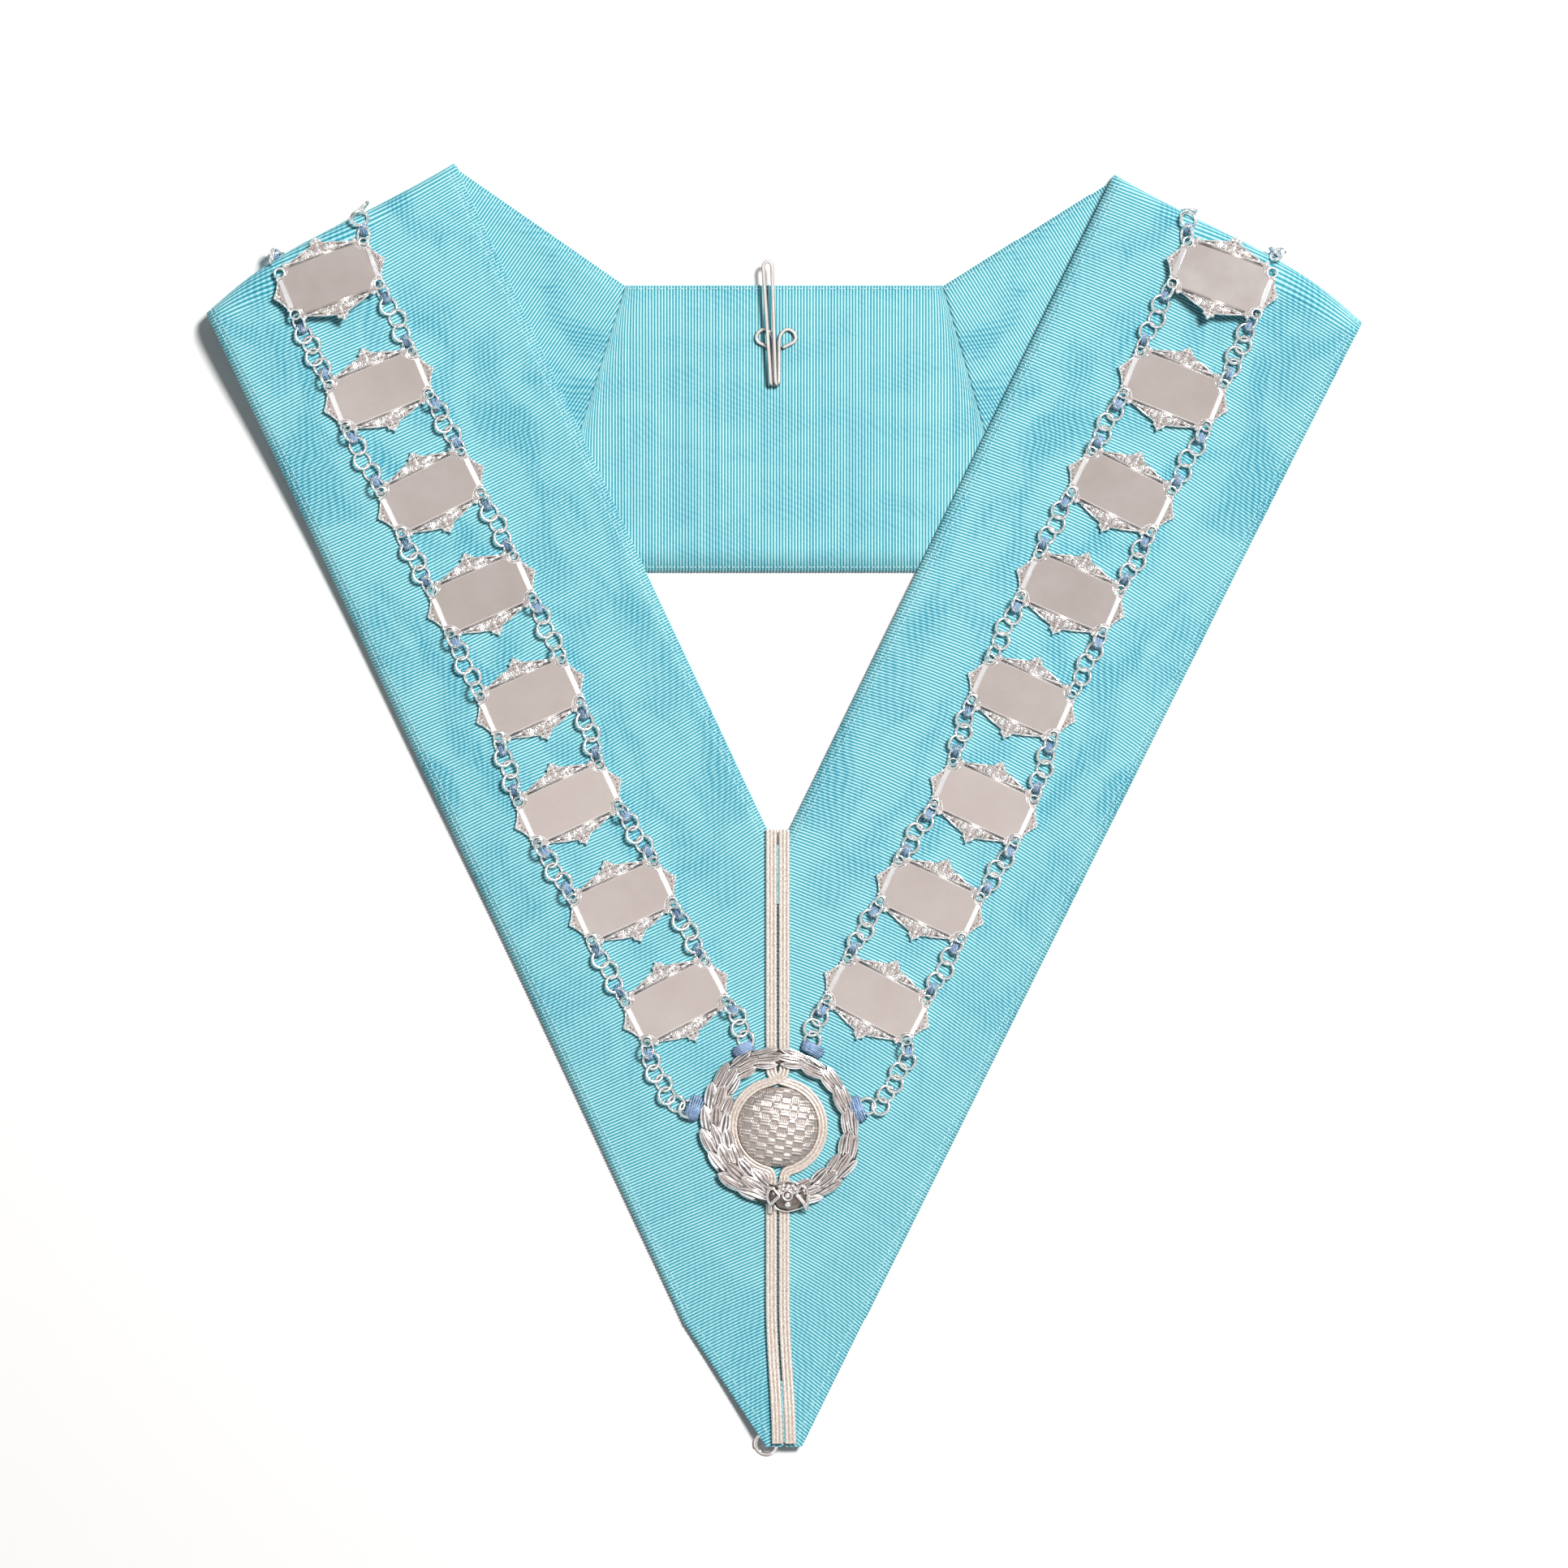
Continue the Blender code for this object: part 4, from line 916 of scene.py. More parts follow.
def flat_body(name, outline, bottom, top, edge):
    """A filled circle with a corner for each point of an outline, pulled up and bevelled."""
    body = primitive("circle", name, False, vertices=len(outline), radius=1, fill_type="NGON")
    for vertex, (x, y) in zip(body.data.vertices, outline):
        vertex.co = (x, y, bottom)
    bpy.ops.object.mode_set(mode="EDIT")
    bpy.ops.mesh.select_all(action="SELECT")
    bpy.ops.mesh.extrude_region_move(TRANSFORM_OT_translate={"value": (0, 0, top - bottom)})
    bpy.ops.mesh.select_all(action="SELECT")
    bpy.ops.mesh.normals_make_consistent(inside=False)
    bpy.ops.object.mode_set(mode="OBJECT")
    modify(body, "BEVEL", width=edge, segments=2, limit_method="ANGLE", angle_limit=0.7)
    bpy.ops.object.shade_smooth_by_angle(angle=math.radians(18))
    return body


def quarters(quarter):
    """A whole outline from the quarter that starts on one middle line and ends on the other."""
    quarter = np.array(quarter, float)
    half = np.concatenate((quarter, quarter[::-1][0 if quarter[-1, 1] else 1:] * (1, -1)))
    other = half[::-1] * (-1, 1)
    keep = slice(None if half[-1, 0] else 1, None if half[0, 0] else -1)
    return np.concatenate((half, other[keep]))


eye_arc = np.array([unit(112 - 134 * step / 6) for step in range(7)]) * EYE_OUTER / 2
eye_arc += np.array((EYE_X, EYE_Y))
edge_quarter = np.concatenate((np.array(LONG_CREST) * MM, eye_arc, np.array(SHORT_CREST) * MM))
plate = flat_body("plate_body", quarters(edge_quarter), 0.0, PLATE_THICKNESS, PLATE_EDGE)
for x in (-EYE_X, EYE_X):
    for y in (-EYE_Y, EYE_Y):
        drill = primitive("cylinder", "drill", False, vertices=14, radius=EYE_HOLE / 2, depth=0.01,
                          location=(x, y, 0))
        modify(plate, "BOOLEAN", operation="DIFFERENCE", object=drill, solver="EXACT")
        discard(drill)
half_x, half_y = PANEL_LENGTH / 2, PANEL_HEIGHT / 2
clip = PANEL_CLIP
panel_quarter = [(half_x - clip, half_y), (half_x - 0.80 * clip, half_y - 0.42 * clip),
                 (half_x - 0.42 * clip, half_y - 0.80 * clip), (half_x, half_y - clip)]
panel = flat_body("panel", quarters(panel_quarter), PLATE_THICKNESS / 2,
                  PLATE_THICKNESS + PANEL_RAISE, PANEL_EDGE)
print("plate body:", len(plate.data.polygons), "faces, panel:", len(panel.data.polygons))


# %% Plate ornament
def mm(*values):
    return tuple(value * MM for value in values)


def arc(x, y, radius, towards, spread, height, steps=7):
    """Points on an arc round a place, in millimetres, open by a spread about a direction."""
    turns = [towards + spread * (2 * step / (steps - 1) - 1) for step in range(steps)]
    return [mm(x + radius * unit(turn)[0], y + radius * unit(turn)[1], height) for turn in turns]


# Beads and wires of one quarter of the plate in millimetres; each is mirrored to the others.
# The dark finish and the lighter shade finish are painted shade; bright is the polished casting.
BEADS = (
    # finish, x, y, height over the plate, length, width, rise, turn
    ("bright", 0, 11.0, 0, 1.1, 3.4, 1.8, 0), ("bright", 0, 12.7, 0, 2.3, 0.8, 1.6, 0),
    ("bright", 0, 14.0, 0, 1.1, 1.3, 1.9, 0), ("bright", 0, 15.2, 0, 1.2, 2.0, 1.5, 0),
    ("bright", 1.45, 14.0, 0, 1.8, 1.1, 1.5, 30), ("bright", 1.15, 9.95, 0, 1.5, 0.8, 1.3, -40),
    ("dark", 0.95, 13.25, 0, 0.7, 0.6, 1.0, 0), ("dark", 1.15, 12.1, 0, 0.8, 0.5, 0.7, 0),
    ("shaded", 2.95, 10.9, 0, 3.1, 3.1, 0.6, 0), ("bright", 2.95, 10.9, 0, 2.6, 2.6, 2.0, 0),
    ("bright", 6.1, 10.5, 0, 1.2, 0.9, 1.1, 0), ("bright", 19.2, 0, 0, 1.3, 1.0, 1.5, 0),
    ("bright", 20.4, 0, 0, 1.4, 1.0, 1.3, 0), ("bright", 19.7, 1.1, 0, 1.0, 1.3, 1.4, 25),
    ("dark", 18.6, 0.9, 0, 0.7, 0.6, 0.9, 0), ("dark", 17.5, 3.4, 0, 0.6, 0.8, 0.7, 0),
    ("dark", 18.0, 2.0, 0, 0.6, 0.7, 0.7, 0), ("bright", 13.0, 10.1, -0.1, 1.9, 1.8, 1.3, 0),
    ("bright", 17.4, 5.9, -0.1, 1.2, 1.1, 1.0, 0),
)
WIRES = (
    # finish, height over the plate, thickness, taper, points
    ("bright", 0, 1.1, (1.0, 0.7, 0.25), ((6.9, 10.2), (9.6, 9.95), (12.4, 9.6))),
    ("dark", 0.02, 0.35, None, ((6.7, 11.0), (10.4, 10.25))),
    ("bright", -0.1, 0.5, None, ((1.9, 13.1), (5.7, 12.0), (9.3, 10.7), (12.4, 9.9))),
    ("bright", -0.1, 0.6, None, ((17.4, 5.3), (18.4, 3.2), (19.4, 1.7))),
)
THIN_ENDS = (0.4, 0.8, 1, 1, 1, 0.8, 0.4)


def plate_ornament():
    """The castings of one plate by finish: bars, pearls in their collars, fleurs, eye rims and painted
    shade.
    """
    top = PLATE_THICKNESS / MM
    made = {"bright": [], "shaded": [], "dark": []}

    def lay(finish, points, thickness, taper=None):
        made[finish].append(wire("cast_wire", points, thickness * MM, taper=taper))

    for finish, x, y, over, length, width, rise, turn in BEADS:
        for right in (-1, 1) if x else (1,):
            for up in (-1, 1) if y else (1,):
                made[finish].append(bead(mm(right * x, up * y, top + over), mm(length, width, rise),
                                         right * up * turn))
    for up in (-1, 1):
        # A line of painted shade along each groove beside the panel, and a bright rail just outside it.
        lay("shaded", [mm(x, up * 8.95, top) for x in (-12.0, 12.0)], 0.55)
        lay("bright", [mm(x, up * 9.45, top) for x in (-11.8, 11.8)], 0.45)
        for right in (-1, 1):
            for finish, over, thickness, taper, points in WIRES:
                lay(finish, [mm(right * x, up * y, top + over) for x, y in points], thickness, taper)
            outward = 0 if right > 0 else 180
            pearl = (right * 2.95, up * 10.9)
            lay("bright", arc(*pearl, 1.85, outward, 62, top + 0.15), 0.95, THIN_ENDS)
            # Painted shade in a thin arc outside each pearl's collar.
            lay("shaded", arc(*pearl, 2.5, outward, 42, top), 0.45, THIN_ENDS)
            eye = (right * EYE_X, up * EYE_Y)
            made["bright"].append(primitive(
                "torus", "eye rim", major_segments=16, minor_segments=6,
                location=(*eye, PLATE_THICKNESS), minor_radius=EYE_RIM_WIRE / 2,
                major_radius=(EYE_OUTER + EYE_HOLE) / 4 + EYE_RIM_OUT))
            inward = math.degrees(math.atan2(-up, -right))
            lay("bright", arc(eye[0] / MM, eye[1] / MM, 2.75, inward, 60, top), 1.05, THIN_ENDS)
    for right in (-1, 1):
        made["bright"].append(primitive("cube", "bar", False, size=1, scale=mm(1.6, 10.4, 0.7),
                                        location=mm(right * 16.3, 0, top + 0.1),
                                        rotation=(0, right * math.radians(22), 0)))
    return made.values()


# Two of the three groups, the shade and the dark pieces, are painted shade.
bright, shaded, dark = plate_ornament()
for pieces, material in (((plate, panel), panel_silver), (bright, ornament_silver),
                         (shaded, painted_shade_silver), (dark, painted_deep_shade)):
    for piece in pieces:
        paint(piece, material)
plate_pattern = join(plate, panel, *bright, *shaded, *dark)
print("one plate:", len(plate_pattern.data.polygons), "faces")

# %% [markdown]
# ## Sixteen plates on the cloth
# A plate is stiff and the cloth is not quite flat, so each plate touches the cloth at its high
# points. Its place is found from the cloth's own surface: the middle and the two directions come
# from points under its ends, and it is raised until no part of the cloth reaches through it.

# %% Plate places
PLATES = (
    # along, across on the left, across on the right, tilt
    (0.0234, 0.565, 0.499, 20.5),
    (0.1428, 0.573, 0.517, 22.0),
    (0.2598, 0.561, 0.514, 26.4),
    (0.3753, 0.552, 0.513, 23.5),
    (0.4922, 0.554, 0.522, 24.0),
    (0.6031, 0.590, 0.567, 24.6),
    (0.7172, 0.563, 0.549, 24.6),
    (0.8331, 0.545, 0.539, 27.4),
)


def plate_pose(side, centre, tilt):
    """Where a plate lies on its side of the collar, as a matrix."""
    along = unit(tilt) * PLATE_LENGTH / 2
    over = unit(tilt + 90) * PLATE_HEIGHT / 2
    middle, right, left, upper, lower = side.surface(
        np.array((centre, centre + along, centre - along, centre + over, centre - over)))
    x_axis = Vector(right - left).normalized()
    z_axis = x_axis.cross(Vector(upper - lower)).normalized()
    y_axis = z_axis.cross(x_axis)
    steps = np.linspace(-1, 1, 9)
    i, j = np.meshgrid(steps, steps)
    samples = side.surface(centre + i[..., None] * along + j[..., None] * over)
    highest = max(0.0, float(((samples - middle) @ np.array(z_axis)).max()))
    place = Vector(middle) + (highest + RIBBON_WALL / 2 + GAP) * z_axis
    return Matrix.Translation(place) @ Matrix((x_axis, y_axis, z_axis)).transposed().to_4x4()


poses = {}
for side in SIDES:
    wreath_along = side.shares(np.array((SEAM_X, -WREATH_DROP)))[0]
    for number, (along, left_across, right_across, tilt) in enumerate(PLATES, start=1):
        across = left_across if side.sign < 0 else right_across
        centre = side.place(along * wreath_along, across)
        pose = plate_pose(side, centre, -side.sign * tilt)
        poses[side.name, number] = pose
        name = f"plate_{side.name}_{number}"
        dress(copy_of(plate_pattern, pose, name + "_cast"), "silver", name)
discard(plate_pattern)
print(len(poses), "plates, first at", tuple(round(v, 4) for v in poses["left", 1].translation))

# %% [markdown]
# ## Ring chain
# The chain is plain round wire rings, each linked through the next. Laid flat, a ring leans one
# way and its neighbour the other, so that one wire passes over at the first crossing and under
# at the second, and the rings are truly linked. The ring next to a plate stands steeper, because
# its wire goes down through the eye.

# %% One ring
RING_RADIUS = 0.00305
RING_WIRE = 0.00118
RING_STEP = 0.0048
RING_LEAN = 20
RING_LIFT = 0.00165
END_REACH = 0.0026
END_LEAN = 52
END_LIFT = 0.00295
STAGGER = 0.00055
ring = primitive("torus", "ring", major_segments=16, minor_segments=6, major_radius=RING_RADIUS,
                 minor_radius=RING_WIRE / 2)
paint(ring, chain_silver)
print("one ring:", len(ring.data.polygons), "faces")


# %% Chain places
def eye_plan(side, strand, number, end):
    """The plan place of a plate's eye; end is 1 for its upper eyes and -1 for its lower ones."""
    out = -side.sign if strand == "inner" else side.sign
    return np.array((poses[side.name, number] @ Vector((out * EYE_X, end * EYE_Y, 0))).xy)


WAY_REACH = 0.001
SLOPE_REACH = 0.0008


class Run:
    """A line on the cloth through plan points, followed by distance."""

    def __init__(self, side, points):
        self.side = side
        self.points = np.array(points, float)
        steps = np.linalg.norm(np.diff(self.points, axis=0), axis=1)
        self.marks = np.concatenate(([0.0], np.cumsum(steps)))
        self.length = float(self.marks[-1])

    def plan(self, distance):
        return np.array([np.interp(distance, self.marks, self.points[:, c]) for c in (0, 1)])

    def frame(self, distance, lift, shift=0.0):
        """A matrix on the cloth: X along the run, Z away from the cloth."""
        here = self.plan(distance)
        ahead = self.plan(min(distance + WAY_REACH, self.length))
        behind = self.plan(max(distance - WAY_REACH, 0.0))
        way = (ahead - behind) / np.linalg.norm(ahead - behind)
        here = here + shift * np.array((-way[1], way[0]))
        place, front, rear = self.side.on_top(
            np.array((here, here + SLOPE_REACH * way, here - SLOPE_REACH * way)), lift)
        z_axis = Vector(self.side.normals(here[None])[0])
        x_axis = Vector(front - rear)
        x_axis = (x_axis - x_axis.dot(z_axis) * z_axis).normalized()
        turn = Matrix((x_axis, z_axis.cross(x_axis), z_axis)).transposed().to_4x4()
        return Matrix.Translation(place) @ turn


WREATH_ENDS = {
    "inner": ((0.465, 1.307), (0.401, 1.080)),
    "outer": ((1.545, 0.832), (1.375, 0.526), (1.256, 0.306), (1.080, 0.261)),
}
WREATH_OUTER = 0.0589
CHAIN_END_WRAP = 0.50
runs = {}
for side in SIDES:
    for strand, ends in WREATH_ENDS.items():
        top_eye = eye_plan(side, strand, 1, 1)
        angle = CHAIN_END_WRAP * math.pi * side.taper
        ray = math.cos(angle) * side.axis + math.sin(angle) * side.out
        crest = meet(top_eye, np.array((0.0, 1.0)), side.cone, ray)
        runs[side.name, strand, 0] = (Run(side, (top_eye, crest)), True, False)
        for number in range(1, len(PLATES)):
            gap = (eye_plan(side, strand, number, -1), eye_plan(side, strand, number + 1, 1))
            runs[side.name, strand, number] = (Run(side, gap), True, True)
        wreath = np.array((SEAM_X, -WREATH_DROP))
        points = [wreath + WREATH_OUTER / 2 * np.array((side.sign * x, y)) for x, y in ends]
        points = smooth_run([eye_plan(side, strand, len(PLATES), -1)] + points, 4)
        runs[side.name, strand, len(PLATES)] = (Run(side, points), True, False)
print("longest gap", round(max(run.length for run, *_ in runs.values()), 4), "m")


# %% Rings along the runs
def ring_places(run, from_eye, to_eye, parity):
    """Distance, lift, lean and shift of each ring on a run."""
    first = END_REACH if from_eye else 0.0
    last = run.length - (END_REACH if to_eye else 0.0)
    count = max(2, round((last - first) / RING_STEP) + 1)
    for index in range(count):
        way = 1 if (index + parity) % 2 else -1
        at_eye = (index == 0 and from_eye) or (index == count - 1 and to_eye)
        distance = first + (last - first) * index / (count - 1)
        wobble = 3 * math.sin(5.1 * index + 2.3 * parity + 400 * run.length)
        if at_eye:
            yield distance, END_LIFT, way * (END_LEAN + wobble), -0.35 * way * STAGGER
        else:
            yield distance, RING_LIFT, way * (RING_LEAN + wobble), way * STAGGER


ring_total = 0
for side in SIDES:
    for strand in WREATH_ENDS:
        made, nodes = [], []
        for number in range(len(PLATES) + 1):
            run, from_eye, to_eye = runs[side.name, strand, number]
            for distance, lift, lean, shift in ring_places(run, from_eye, to_eye, number % 2):
                pose = run.frame(distance, lift, shift) @ Matrix.Rotation(math.radians(lean), 4, "X")
                made.append(copy_of(ring, pose))
            nodes.append(f"chain_{side.name}_{strand}_{number}")
        ring_total += len(made)
        chain = join(*made)
        chain.name = f"chain_{side.name}_{strand}_rings"
        dress(chain, "chain_silver", *nodes)
discard(ring)
print("rings:", ring_total)

# %% [markdown]
# ## Thread
# The rings beside each plate are tied down with a bundle of blue thread, and four thicker
# bundles bind the chain ends to the wreath. Each strand is a thin arch that comes out of the
# cloth, passes over the wire and goes back in.


# %% Thread material
def thread_material(name, light, dark, scale, roughness):
    """Thread with a fine twist along its strands."""
    material = plain_material(name, light, roughness)
    tree = material.node_tree
    shader = tree.nodes["Principled BSDF"]
    cloud = noise_at(tree, tree.nodes.new("ShaderNodeTexCoord").outputs["Object"], scale, 2.0)
    contrast = math_node(tree, "MULTIPLY_ADD", cloud, 2.6, -0.8, clamp=True)
    tree.links.new(mix(tree, contrast, dark, light), shader.inputs["Base Color"])
    add_bump(tree, cloud, 0.6, 0.00008)
    shader.inputs["Sheen Weight"].default_value = 0.3
    return material


blue_thread = thread_material("blue thread", (0.46, 0.60, 0.84), (0.12, 0.26, 0.48), 1700.0, 0.6)
print("thread:", blue_thread.name)

# %% One strand
STRAND_WIDTH = 0.00046
TIE_LENGTH = 0.0043
TIE_WIDTH = 0.0027
TIE_HEIGHT = 0.0036
TIE_BEYOND_RING = 0.0021
STRANDS = 7
arch = [(x * TIE_LENGTH / 2, 0.0, z * TIE_HEIGHT) for x, z in
        ((-1.0, 0.0), (-0.86, 0.62), (-0.45, 0.96), (0.0, 1.0), (0.45, 0.96), (0.86, 0.62), (1.0, 0.0))]
strand = wire("strand", arch, STRAND_WIDTH, resolution=0)
paint(strand, blue_thread)
print("one strand:", len(strand.data.polygons), "faces")


# %% Ties beside the plates
def tie(pose, width, length=1.0, height=1.0, strands=STRANDS):
    """A bundle of strands side by side; each leans and bulges a little on its own."""
    made = []
    for index in range(strands):
        share = index / (strands - 1) - 0.5
        lean = 7 * math.sin(2.1 * index + 300 * pose.translation.x)
        crown = height * (1 - 1.2 * share * share) * (1 + 0.05 * math.sin(4.7 * index))
        reach = length * (1 - 0.9 * share * share) * (1 + 0.08 * math.sin(3.1 * index))
        local = (Matrix.Translation((0, share * width, 0)) @ Matrix.Rotation(math.radians(lean), 4, "Z")
                 @ Matrix.Diagonal((reach, 1.0, crown, 1.0)))
        made.append(copy_of(strand, pose @ local))
    return made


BARE_GAP = 4
ties = []
step = END_REACH + TIE_BEYOND_RING
for (*_, number), (run, from_eye, to_eye) in runs.items():
    if from_eye:
        ties += tie(run.frame(step, 0.0), TIE_WIDTH)
    if to_eye and number != BARE_GAP:
        ties += tie(run.frame(run.length - step, 0.0), TIE_WIDTH)
tie_piece = join(*ties)
tie_piece.name = "chain_ties"
dress(tie_piece, "ribbon")
print("strands beside plates:", len(ties))

# %% Windings at the wreath
WINDING_REACH = 0.002
WINDINGS = (
    # side, x and y in the plan, turn of the strands, length, width, height
    (LEFT, -0.0320, -0.2416, 70.0, 2.15, 0.0044, 1.15),
    (RIGHT, 0.0260, -0.2420, 110.0, 2.15, 0.0044, 1.15),
    (LEFT, -0.0143, -0.2205, 27.0, 1.90, 0.0036, 1.0),
    (RIGHT, 0.0101, -0.2205, -27.0, 1.90, 0.0036, 1.0),
)
windings = []
for side, x, y, turn, length, width, height in WINDINGS:
    reach = WINDING_REACH * unit(turn)
    pose = Run(side, [np.array((x, y)) - reach, np.array((x, y)) + reach]).frame(WINDING_REACH, 0.0)
    windings += tie(pose, width, length, height, 17)
winding_piece = join(*windings)
winding_piece.name = "wreath_windings"
dress(winding_piece, "ribbon")
discard(strand)
print("strands at the wreath:", len(windings))

# %% [markdown]
# ## Braid of metal thread
# The braid that hides the seam is two flat strips of three twisted metal cords. Below the fork
# the strips lie side by side, they cross and part round the button, and they close again
# underneath. A plain strip would lose the cords, so each cord is a real rope: a grid wrapped into
# a tube whose section has two plies that turn as it goes.

# %% A rope of two plies
BRAID_TOP_DROP = 0.1426
BRAID_END_MARGIN = 0.0010
CORD_WIDTH = 0.00152
CORD_OFFSETS = (0.0010, 0.0023, 0.0036)
CORD_RING = (0.01725, 0.01610, 0.01490)
CORD_PITCH = 0.0021
ROPE_SIDES = 8
PLIES = 2
BRAID_HALF = 0.0042
PART_ABOVE = 0.0205
PART_BELOW = 0.0198
CROSS_ABOVE = 0.0185
CROSS_LIFT = 0.0007
CROSS_REACH = 0.0042
NARROW_REACH = 0.0215
PLAN_STEP = 0.0004


def rope(name, points, widths, pitch, depth=0.06):
    """A twisted rope along points: a grid wrapped round them, merged and capped."""
    points = np.asarray(points, float)
    tangent = np.gradient(points, axis=0)
    tangent /= np.linalg.norm(tangent, axis=1, keepdims=True)
    across = np.cross(tangent, (0.0, 0.0, 1.0))
    across /= np.linalg.norm(across, axis=1, keepdims=True)
    up = np.cross(across, tangent)
    marks = np.concatenate(([0.0], np.cumsum(np.linalg.norm(np.diff(points, axis=0), axis=1))))
    angle = np.linspace(0, 2 * math.pi, ROPE_SIDES + 1)
    turn = PLIES * angle[None, :] - 2 * math.pi * marks[:, None] / pitch
    radius = np.asarray(widths)[:, None] / 2 * (1 - depth + depth * np.cos(turn))
    skin = (points[:, None] + radius[..., None] * (np.cos(angle)[None, :, None] * across[:, None]
                                                   + np.sin(angle)[None, :, None] * up[:, None]))
    made = laid_grid(name, skin)[0]
    bpy.ops.object.mode_set(mode="EDIT")
    bpy.ops.mesh.select_all(action="SELECT")
    bpy.ops.mesh.remove_doubles(threshold=1e-7)
    bpy.ops.mesh.fill_holes(sides=0)
    bpy.ops.mesh.normals_make_consistent(inside=False)
    bpy.ops.object.mode_set(mode="OBJECT")
    return made


def seam_top(y, half_width):
    """Height of the cloth's outer side across the middle seam."""
    x = seam_x(y)
    points = np.array([(x + offset, y) for offset in (-half_width, 0.0, half_width)])
    return max(float(side.heights(points).max()) for side in SIDES) + RIBBON_WALL / 2


# %% Cord paths
def curve_between(start, start_way, end, end_way, steps):
    """A smooth plan curve that leaves and arrives in given directions."""
    reach = 0.42 * np.linalg.norm(end - start)
    share = np.linspace(0, 1, steps)[:, None]
    return ((1 - share)**3 * start + 3 * (1 - share)**2 * share * (start + reach * start_way)
            + 3 * (1 - share) * share**2 * (end - reach * end_way) + share**3 * end)


def cord_path(sign, index):
    """Plan points of one cord of the strip on one side, from the fork to the tip."""
    centre = np.array((SEAM_X, -BUTTON_DROP))
    down = np.array((0.0, -1.0))
    upper_y = np.arange(-BRAID_TOP_DROP, centre[1] + PART_ABOVE, -PLAN_STEP)
    upper = np.stack((seam_x(upper_y) + sign * CORD_OFFSETS[index], upper_y), -1)
    entry, leave = 90 + sign * 26, 90 + sign * 165
    bearings = np.radians(np.linspace(entry, leave, 70))
    ring = centre + CORD_RING[index] * np.stack((np.cos(bearings), np.sin(bearings)), -1)
    into = curve_between(upper[-1], down, ring[0], sign * unit(entry + 90), 26)
    below = -sign * (CORD_OFFSETS[0] + CORD_OFFSETS[2] - CORD_OFFSETS[index])
    lower_y = np.arange(centre[1] - PART_BELOW, -TIP_DROP + BRAID_END_MARGIN, -PLAN_STEP)
    lower = np.stack((seam_x(lower_y) + below, lower_y), -1)
    out = curve_between(ring[-1], sign * unit(leave + 90), lower[0], down, 20)
    return np.concatenate((upper, into[1:-1], ring, out[1:-1], lower))


cords = []
crossing = np.array((SEAM_X, -BUTTON_DROP + CROSS_ABOVE))
for sign in (-1, 1):
    for index in range(3):
        plan = cord_path(sign, index)
        base = np.array([seam_top(y, BRAID_HALF) for y in plan[:, 1]])
        away = np.linalg.norm(plan - crossing, axis=1)
        lift = CROSS_LIFT * np.exp(-(away / CROSS_REACH)**2) if sign > 0 else 0.0
        near_ring = np.clip(1.6 - np.abs(plan[:, 1] + BUTTON_DROP) / NARROW_REACH, 0, 1)
        widths = CORD_WIDTH * (1 - 0.16 * near_ring)
        height = base + GAP + CORD_WIDTH / 2 + lift
        cords.append(rope("cord", np.column_stack((plan, height)), widths, CORD_PITCH))
braid = join(*cords)
braid.name = "braid_cords"
metal_thread = thread_material("metal thread", (0.93, 0.87, 0.81), (0.60, 0.50, 0.43), 1500.0, 0.36)
metal_thread.node_tree.nodes["Principled BSDF"].inputs["Metallic"].default_value = 0.35
paint(braid, metal_thread)
dress(braid, "metal_thread", "braid")
print("braid:", len(braid.data.polygons), "faces")

# %% Turquoise cord in the slit
SLITS = ((-0.1480, -0.1690), (-0.3382, -0.3598))
SLIT_CORD_WIDTH = 0.00095
SLIT_CORD_PITCH = 0.0019
SLIT_CORD_LIFT = 0.0007
SLIT_CORD_STEP = 0.0003
turquoise_thread = thread_material("turquoise cord", (0.42, 0.80, 0.86), (0.05, 0.34, 0.46),
                                   1300.0, 0.5)
slits = []
for top, bottom in SLITS:
    y = np.arange(top, bottom, -SLIT_CORD_STEP)
    height = np.array([seam_top(v, BRAID_HALF) for v in y]) + SLIT_CORD_LIFT
    slits.append(rope("slit cord", np.column_stack((seam_x(y), y, height)),
                      np.full(len(y), SLIT_CORD_WIDTH), SLIT_CORD_PITCH, depth=0.22))
slit = join(*slits)
slit.name = "slit_cord"
paint(slit, turquoise_thread)
dress(slit, "ribbon")
print("slit cord:", len(slit.data.polygons), "faces")

# %% [markdown]
# ## Woven button
# The button is a dome covered in woven metal thread, a basket of small bricks that stand proud in
# turn. A grid is bent into a disc and raised to the dome, and the bricks are part of the raise,
# so they keep their light and shade from every side. Its rim is pulled down and closed.

# %% Button
BUTTON_DIAMETER = 0.0284
BUTTON_HEIGHT = 0.0065
BUTTON_RIM = 0.0012
BRICK_LENGTH = 0.0032
BRICK_HEIGHT = 0.0022
BRICK_BIAS = 0.26
BRICK_RAISE = 0.00042
BRICK_LEAN = -9
button = primitive("grid", "button_weave", x_subdivisions=120, y_subdivisions=120, size=2)
u, v = corners_of(button)[:, :2].T
x, y = u * np.sqrt(1 - v * v / 2), v * np.sqrt(1 - u * u / 2)
reach = np.minimum(np.hypot(x, y), 1.0)
x, y = x * BUTTON_DIAMETER / 2, y * BUTTON_DIAMETER / 2
dome = BUTTON_RIM + (BUTTON_HEIGHT - BUTTON_RIM) * np.sqrt(1 - reach**2 * 0.9999)
lean = math.radians(BRICK_LEAN)
over = (x * math.cos(lean) + y * math.sin(lean)) / BRICK_LENGTH
up = (y * math.cos(lean) - x * math.sin(lean)) / BRICK_HEIGHT
bricks = np.tanh(6 * (np.sin(math.pi * over) + BRICK_BIAS) * np.sin(math.pi * up))
fade = np.clip((1 - reach) * 9, 0, 1)
button_base = seam_top(-BUTTON_DROP, BUTTON_DIAMETER / 2) + GAP
height = button_base + dome + BRICK_RAISE * (bricks - 1) / 2 * fade
